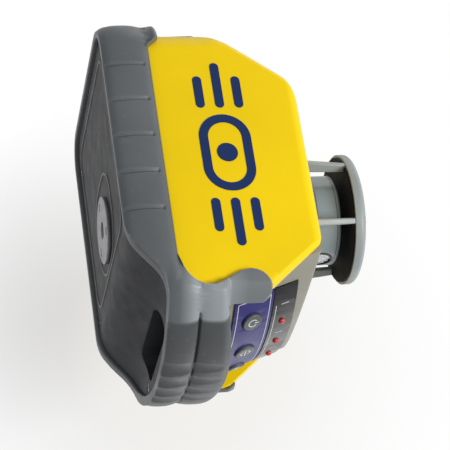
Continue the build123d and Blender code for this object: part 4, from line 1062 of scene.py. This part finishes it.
class LEVEL_OT_battery(bpy.types.Operator):
    """Battery door, its knob and hinge, and the bay behind it"""

    bl_idname = "level.battery"
    bl_label = "Battery Bay"

    def execute(self, context):
        tone = finishes()
        door = moulded("door plastic", shade(tuple(tone.pan), 1.8), 0.46)
        dress(door, "battery_door", edge=shapes().edge)
        dress(moulded("tray plastic", BLACK, 0.55), "battery_tray")
        dress(moulded("knob plastic", (0.016, 0.016, 0.018), 0.4), "door_knob", edge=FINE_EDGE)
        dress(moulded("seal rubber", SOFT_BLACK, 0.65), "door_seal")
        dress(metal("cell jacket", tuple(tone.jacket), 0.35), "cell_left", "cell_right")
        plated = metal("contact plate", (0.7, 0.68, 0.62), 0.28)
        dress(plated, "contact_spring", "contact_plate", "door_hinge_pin")
        self.cell_marks(door)
        return {"FINISHED"}

    def cell_marks(self, finish):
        """Raised outlines of two cells with their poles, on the door."""
        mesh = bmesh.new()
        face = PAN_BOX[1].y + 4.15 * MM
        raised = 0.35 * MM
        strokes = [(-11, y, 11, y, 0.8) for y in (-3.5, 3.5)]  # x, y, x, y and width in mm
        strokes += [(x, -3.9, x, 3.9, 0.8) for x in (-11, 11)]
        strokes += [(12, -1.6, 12, 1.6, 1.4), (5, 0, 9, 0, 0.8), (7, -2, 7, 2, 0.8), (-9, 0, -5, 0, 0.8)]
        axes = Matrix(((-1, 0, 0), (0, 0, 1), (0, 1, 0))).transposed().to_4x4()
        for side in (-1, 1):
            spot = Vector((side * 24 * MM, face, TRAY_BOX[0].z + 8.5 * MM))
            here = Matrix.Translation(spot) @ axes
            for stroke in strokes:
                draw_bar(mesh, here, *(value * MM for value in stroke), raised)
        place_piece("cell_marks", mesh, finish, "door")


class LEVEL_OT_works(bpy.types.Operator):
    """Levelling works and laser barrel inside the case"""

    bl_idname = "level.works"
    bl_label = "Levelling Works"

    def execute(self, context):
        cast = metal("cast aluminium", (0.55, 0.55, 0.56), 0.45)
        dress(cast, "chassis", "gimbal_ring", "laser_barrel", "rotor_hub")
        steel = metal("works steel", (0.56, 0.56, 0.57), 0.3)
        dress(steel, "outer_pivot_pins", "inner_pivot_pins", "level_screw_x", "level_screw_y")
        dress(steel, "barrel_bracket", "bearing_lower", "bearing_upper")
        dress(steel, "level_motor_x", "level_motor_y", "rotor_motor")
        dress(metal("turned brass", (0.7, 0.5, 0.2), 0.3, 0.2), "level_nut_x", "level_nut_y", "laser_diode")
        dress(moulded("circuit board", tuple(finishes().board), 0.4), "main_board")
        return {"FINISHED"}


# Stage


FLOOR_PAINT = (0.86, 0.86, 0.86, 1.0)
FLOOR_FADE = (0.10, 0.26)  # distance from the floor's middle over which it turns white
FLOOR_HALF = 4.0
LAMP_AIM = Vector((0, 0, 0.09))
LYING_GAP = 0.12  # from the level's side to the floor that it would lie on
HIDDEN_RAYS = ("diffuse", "glossy", "transmission", "volume_scatter", "shadow")


def floor_finish(name, white_share):
    """White floor that is seen from its front only and fades into the backdrop."""
    material, tree, shader, place = begin(name)
    tree.nodes.remove(shader)
    paint = put(tree, "ShaderNodeBsdfDiffuse", Color=FLOOR_PAINT).outputs["BSDF"]
    white = put(tree, "ShaderNodeEmission", Color=(1.0, 1.0, 1.0, 1.0), Strength=1.0).outputs["Emission"]
    away = put(tree, "ShaderNodeVectorMath", {"operation": "LENGTH"}, Vector=place).outputs["Value"]
    shown = mix_shaders(tree, spread(tree, away, white_share, 1.0, *FLOOR_FADE), paint, white)
    gone = put(tree, "ShaderNodeBsdfTransparent").outputs["BSDF"]
    back = put(tree, "ShaderNodeNewGeometry").outputs["Backfacing"]
    one_sided = mix_shaders(tree, back, shown, gone)
    tree.links.new(one_sided, tree.nodes["Material Output"].inputs["Surface"])
    return material


def add_floor(name, at, facing, white_share):
    """A floor plane that only the camera sees."""
    mesh = bmesh.new()
    bmesh.ops.create_grid(mesh, x_segments=1, y_segments=1, size=FLOOR_HALF)
    data = bpy.data.meshes.new(name)
    mesh.to_mesh(data)
    mesh.free()
    data.materials.append(floor_finish(name + " paint", white_share))
    plane = bpy.data.objects.new(name, data)
    turned = Vector(facing).to_track_quat("Z", "Y").to_matrix().to_4x4()
    plane.matrix_world = Matrix.Translation(at) @ turned
    bpy.context.scene.collection.objects.link(plane)
    for ray in HIDDEN_RAYS:
        setattr(plane, "visible_" + ray, False)


def add_lamp(name, at, size, power):
    """A soft square lamp that faces the level."""
    data = bpy.data.lights.new(name, "AREA")
    data.size = size
    data.energy = power
    lamp = bpy.data.objects.new(name, data)
    lamp.location = at
    lamp.rotation_euler = (LAMP_AIM - Vector(at)).to_track_quat("-Z", "Y").to_euler()
    bpy.context.scene.collection.objects.link(lamp)


class LEVEL_OT_stage(bpy.types.Operator):
    """Floors, soft lamps, backdrop and camera"""

    bl_idname = "level.stage"
    bl_label = "Stage"

    def execute(self, context):
        scene = context.scene
        plan = scene.level_stage
        scene.view_settings.view_transform = "Standard"
        add_floor("standing_floor", (0, 0, CAD_BOX[0][2] - 0.05 * MM), (0, 0, 1), 0.0)
        add_floor("lying_floor", (CAD_BOX[1][0] + LYING_GAP, 0, LAMP_AIM.z), (-1, 0, 0), 0.45)
        add_lamp("key_lamp", (-1.15, -0.8, 1.35), 0.8, plan.key)
        add_lamp("right_lamp", (1.3, -0.9, 0.9), 1.2, plan.fill)
        add_lamp("rear_lamp", (-0.3, 1.6, 0.9), 1.2, plan.fill)
        self.backdrop(scene, plan.ambient)
        self.camera(scene, plan)
        return {"FINISHED"}

    def backdrop(self, scene, ambient):
        """White to the camera and in reflections, a plain level of light elsewhere."""
        world = bpy.data.worlds.new("studio")
        world.use_nodes = True
        tree = world.node_tree
        tree.nodes.clear()
        light = put(tree, "ShaderNodeBackground", Color=(0.97, 0.98, 1.0, 1.0), Strength=ambient)
        white = put(tree, "ShaderNodeBackground", Color=(1.0, 1.0, 1.0, 1.0), Strength=1.0)
        path = tree.nodes.new("ShaderNodeLightPath")
        seen = path.outputs["Is Camera Ray"]
        for ray in ("Is Glossy Ray", "Is Transmission Ray"):
            seen = combine(tree, "MAXIMUM", seen, path.outputs[ray])
        chosen = mix_shaders(tree, seen, light.outputs["Background"], white.outputs["Background"])
        out = tree.nodes.new("ShaderNodeOutputWorld")
        tree.links.new(chosen, out.inputs["Surface"])
        scene.world = world

    def camera(self, scene, plan):
        """Looks along the photograph's line, with the level's axis to the right."""
        turn, lift = plan.azimuth, plan.elevation
        level = math.cos(lift)
        back = Vector((math.sin(turn) * level, -math.cos(turn) * level, math.sin(lift)))
        right = (Vector((0, 0, 1)) - back * back.z).normalized()
        up = back.cross(right)
        tilt = Matrix.Rotation(-plan.roll, 3, back)
        axes = Matrix((tilt @ right, tilt @ up, back)).transposed()
        data = bpy.data.cameras.new("camera")
        data.sensor_width = 36.0
        data.lens = data.sensor_width * plan.distance / plan.width
        data.clip_end = 50.0
        eye = bpy.data.objects.new("camera", data)
        spot = Vector((0, 0, plan.aim_z)) + back * plan.distance
        eye.matrix_world = Matrix.Translation(spot) @ axes.to_4x4()
        scene.collection.objects.link(eye)
        scene.camera = eye


OPERATORS = (
    LEVEL_OT_housing,
    LEVEL_OT_bumper,
    LEVEL_OT_base,
    LEVEL_OT_console,
    LEVEL_OT_keys,
    LEVEL_OT_labels,
    LEVEL_OT_lighthouse,
    LEVEL_OT_rotor,
    LEVEL_OT_battery,
    LEVEL_OT_works,
    LEVEL_OT_stage,
)


class LEVEL_PT_sidebar(bpy.types.Panel):
    """Lists the level's pieces and their settings"""

    bl_idname = "LEVEL_PT_sidebar"
    bl_label = "Rotary Laser Level"
    bl_space_type = "VIEW_3D"
    bl_region_type = "UI"
    bl_category = "Laser Level"

    def draw(self, context):
        layout = self.layout
        for operator in OPERATORS:
            layout.operator(operator.bl_idname)
        scene = context.scene
        for group in (scene.level_finishes, scene.level_shapes, scene.level_stage):
            box = layout.box()
            for name in group.__annotations__:
                box.prop(group, name)


CLASSES = (LevelFinishes, LevelShapes, LevelStage, *OPERATORS, LEVEL_PT_sidebar)


def register():
    for item in CLASSES:
        bpy.utils.register_class(item)
    bpy.types.Scene.level_finishes = bpy.props.PointerProperty(type=LevelFinishes)
    bpy.types.Scene.level_shapes = bpy.props.PointerProperty(type=LevelShapes)
    bpy.types.Scene.level_stage = bpy.props.PointerProperty(type=LevelStage)


def unregister():
    del bpy.types.Scene.level_stage
    del bpy.types.Scene.level_shapes
    del bpy.types.Scene.level_finishes
    for item in reversed(CLASSES):
        bpy.utils.unregister_class(item)


def main():
    register()
    bpy.ops.level.housing()
    bpy.ops.level.bumper()
    bpy.ops.level.base()
    bpy.ops.level.console()
    bpy.ops.level.keys()
    bpy.ops.level.labels()
    bpy.ops.level.lighthouse()
    bpy.ops.level.rotor()
    bpy.ops.level.battery()
    bpy.ops.level.works()
    bpy.ops.level.stage()


if __name__ == "__main__":
    main()
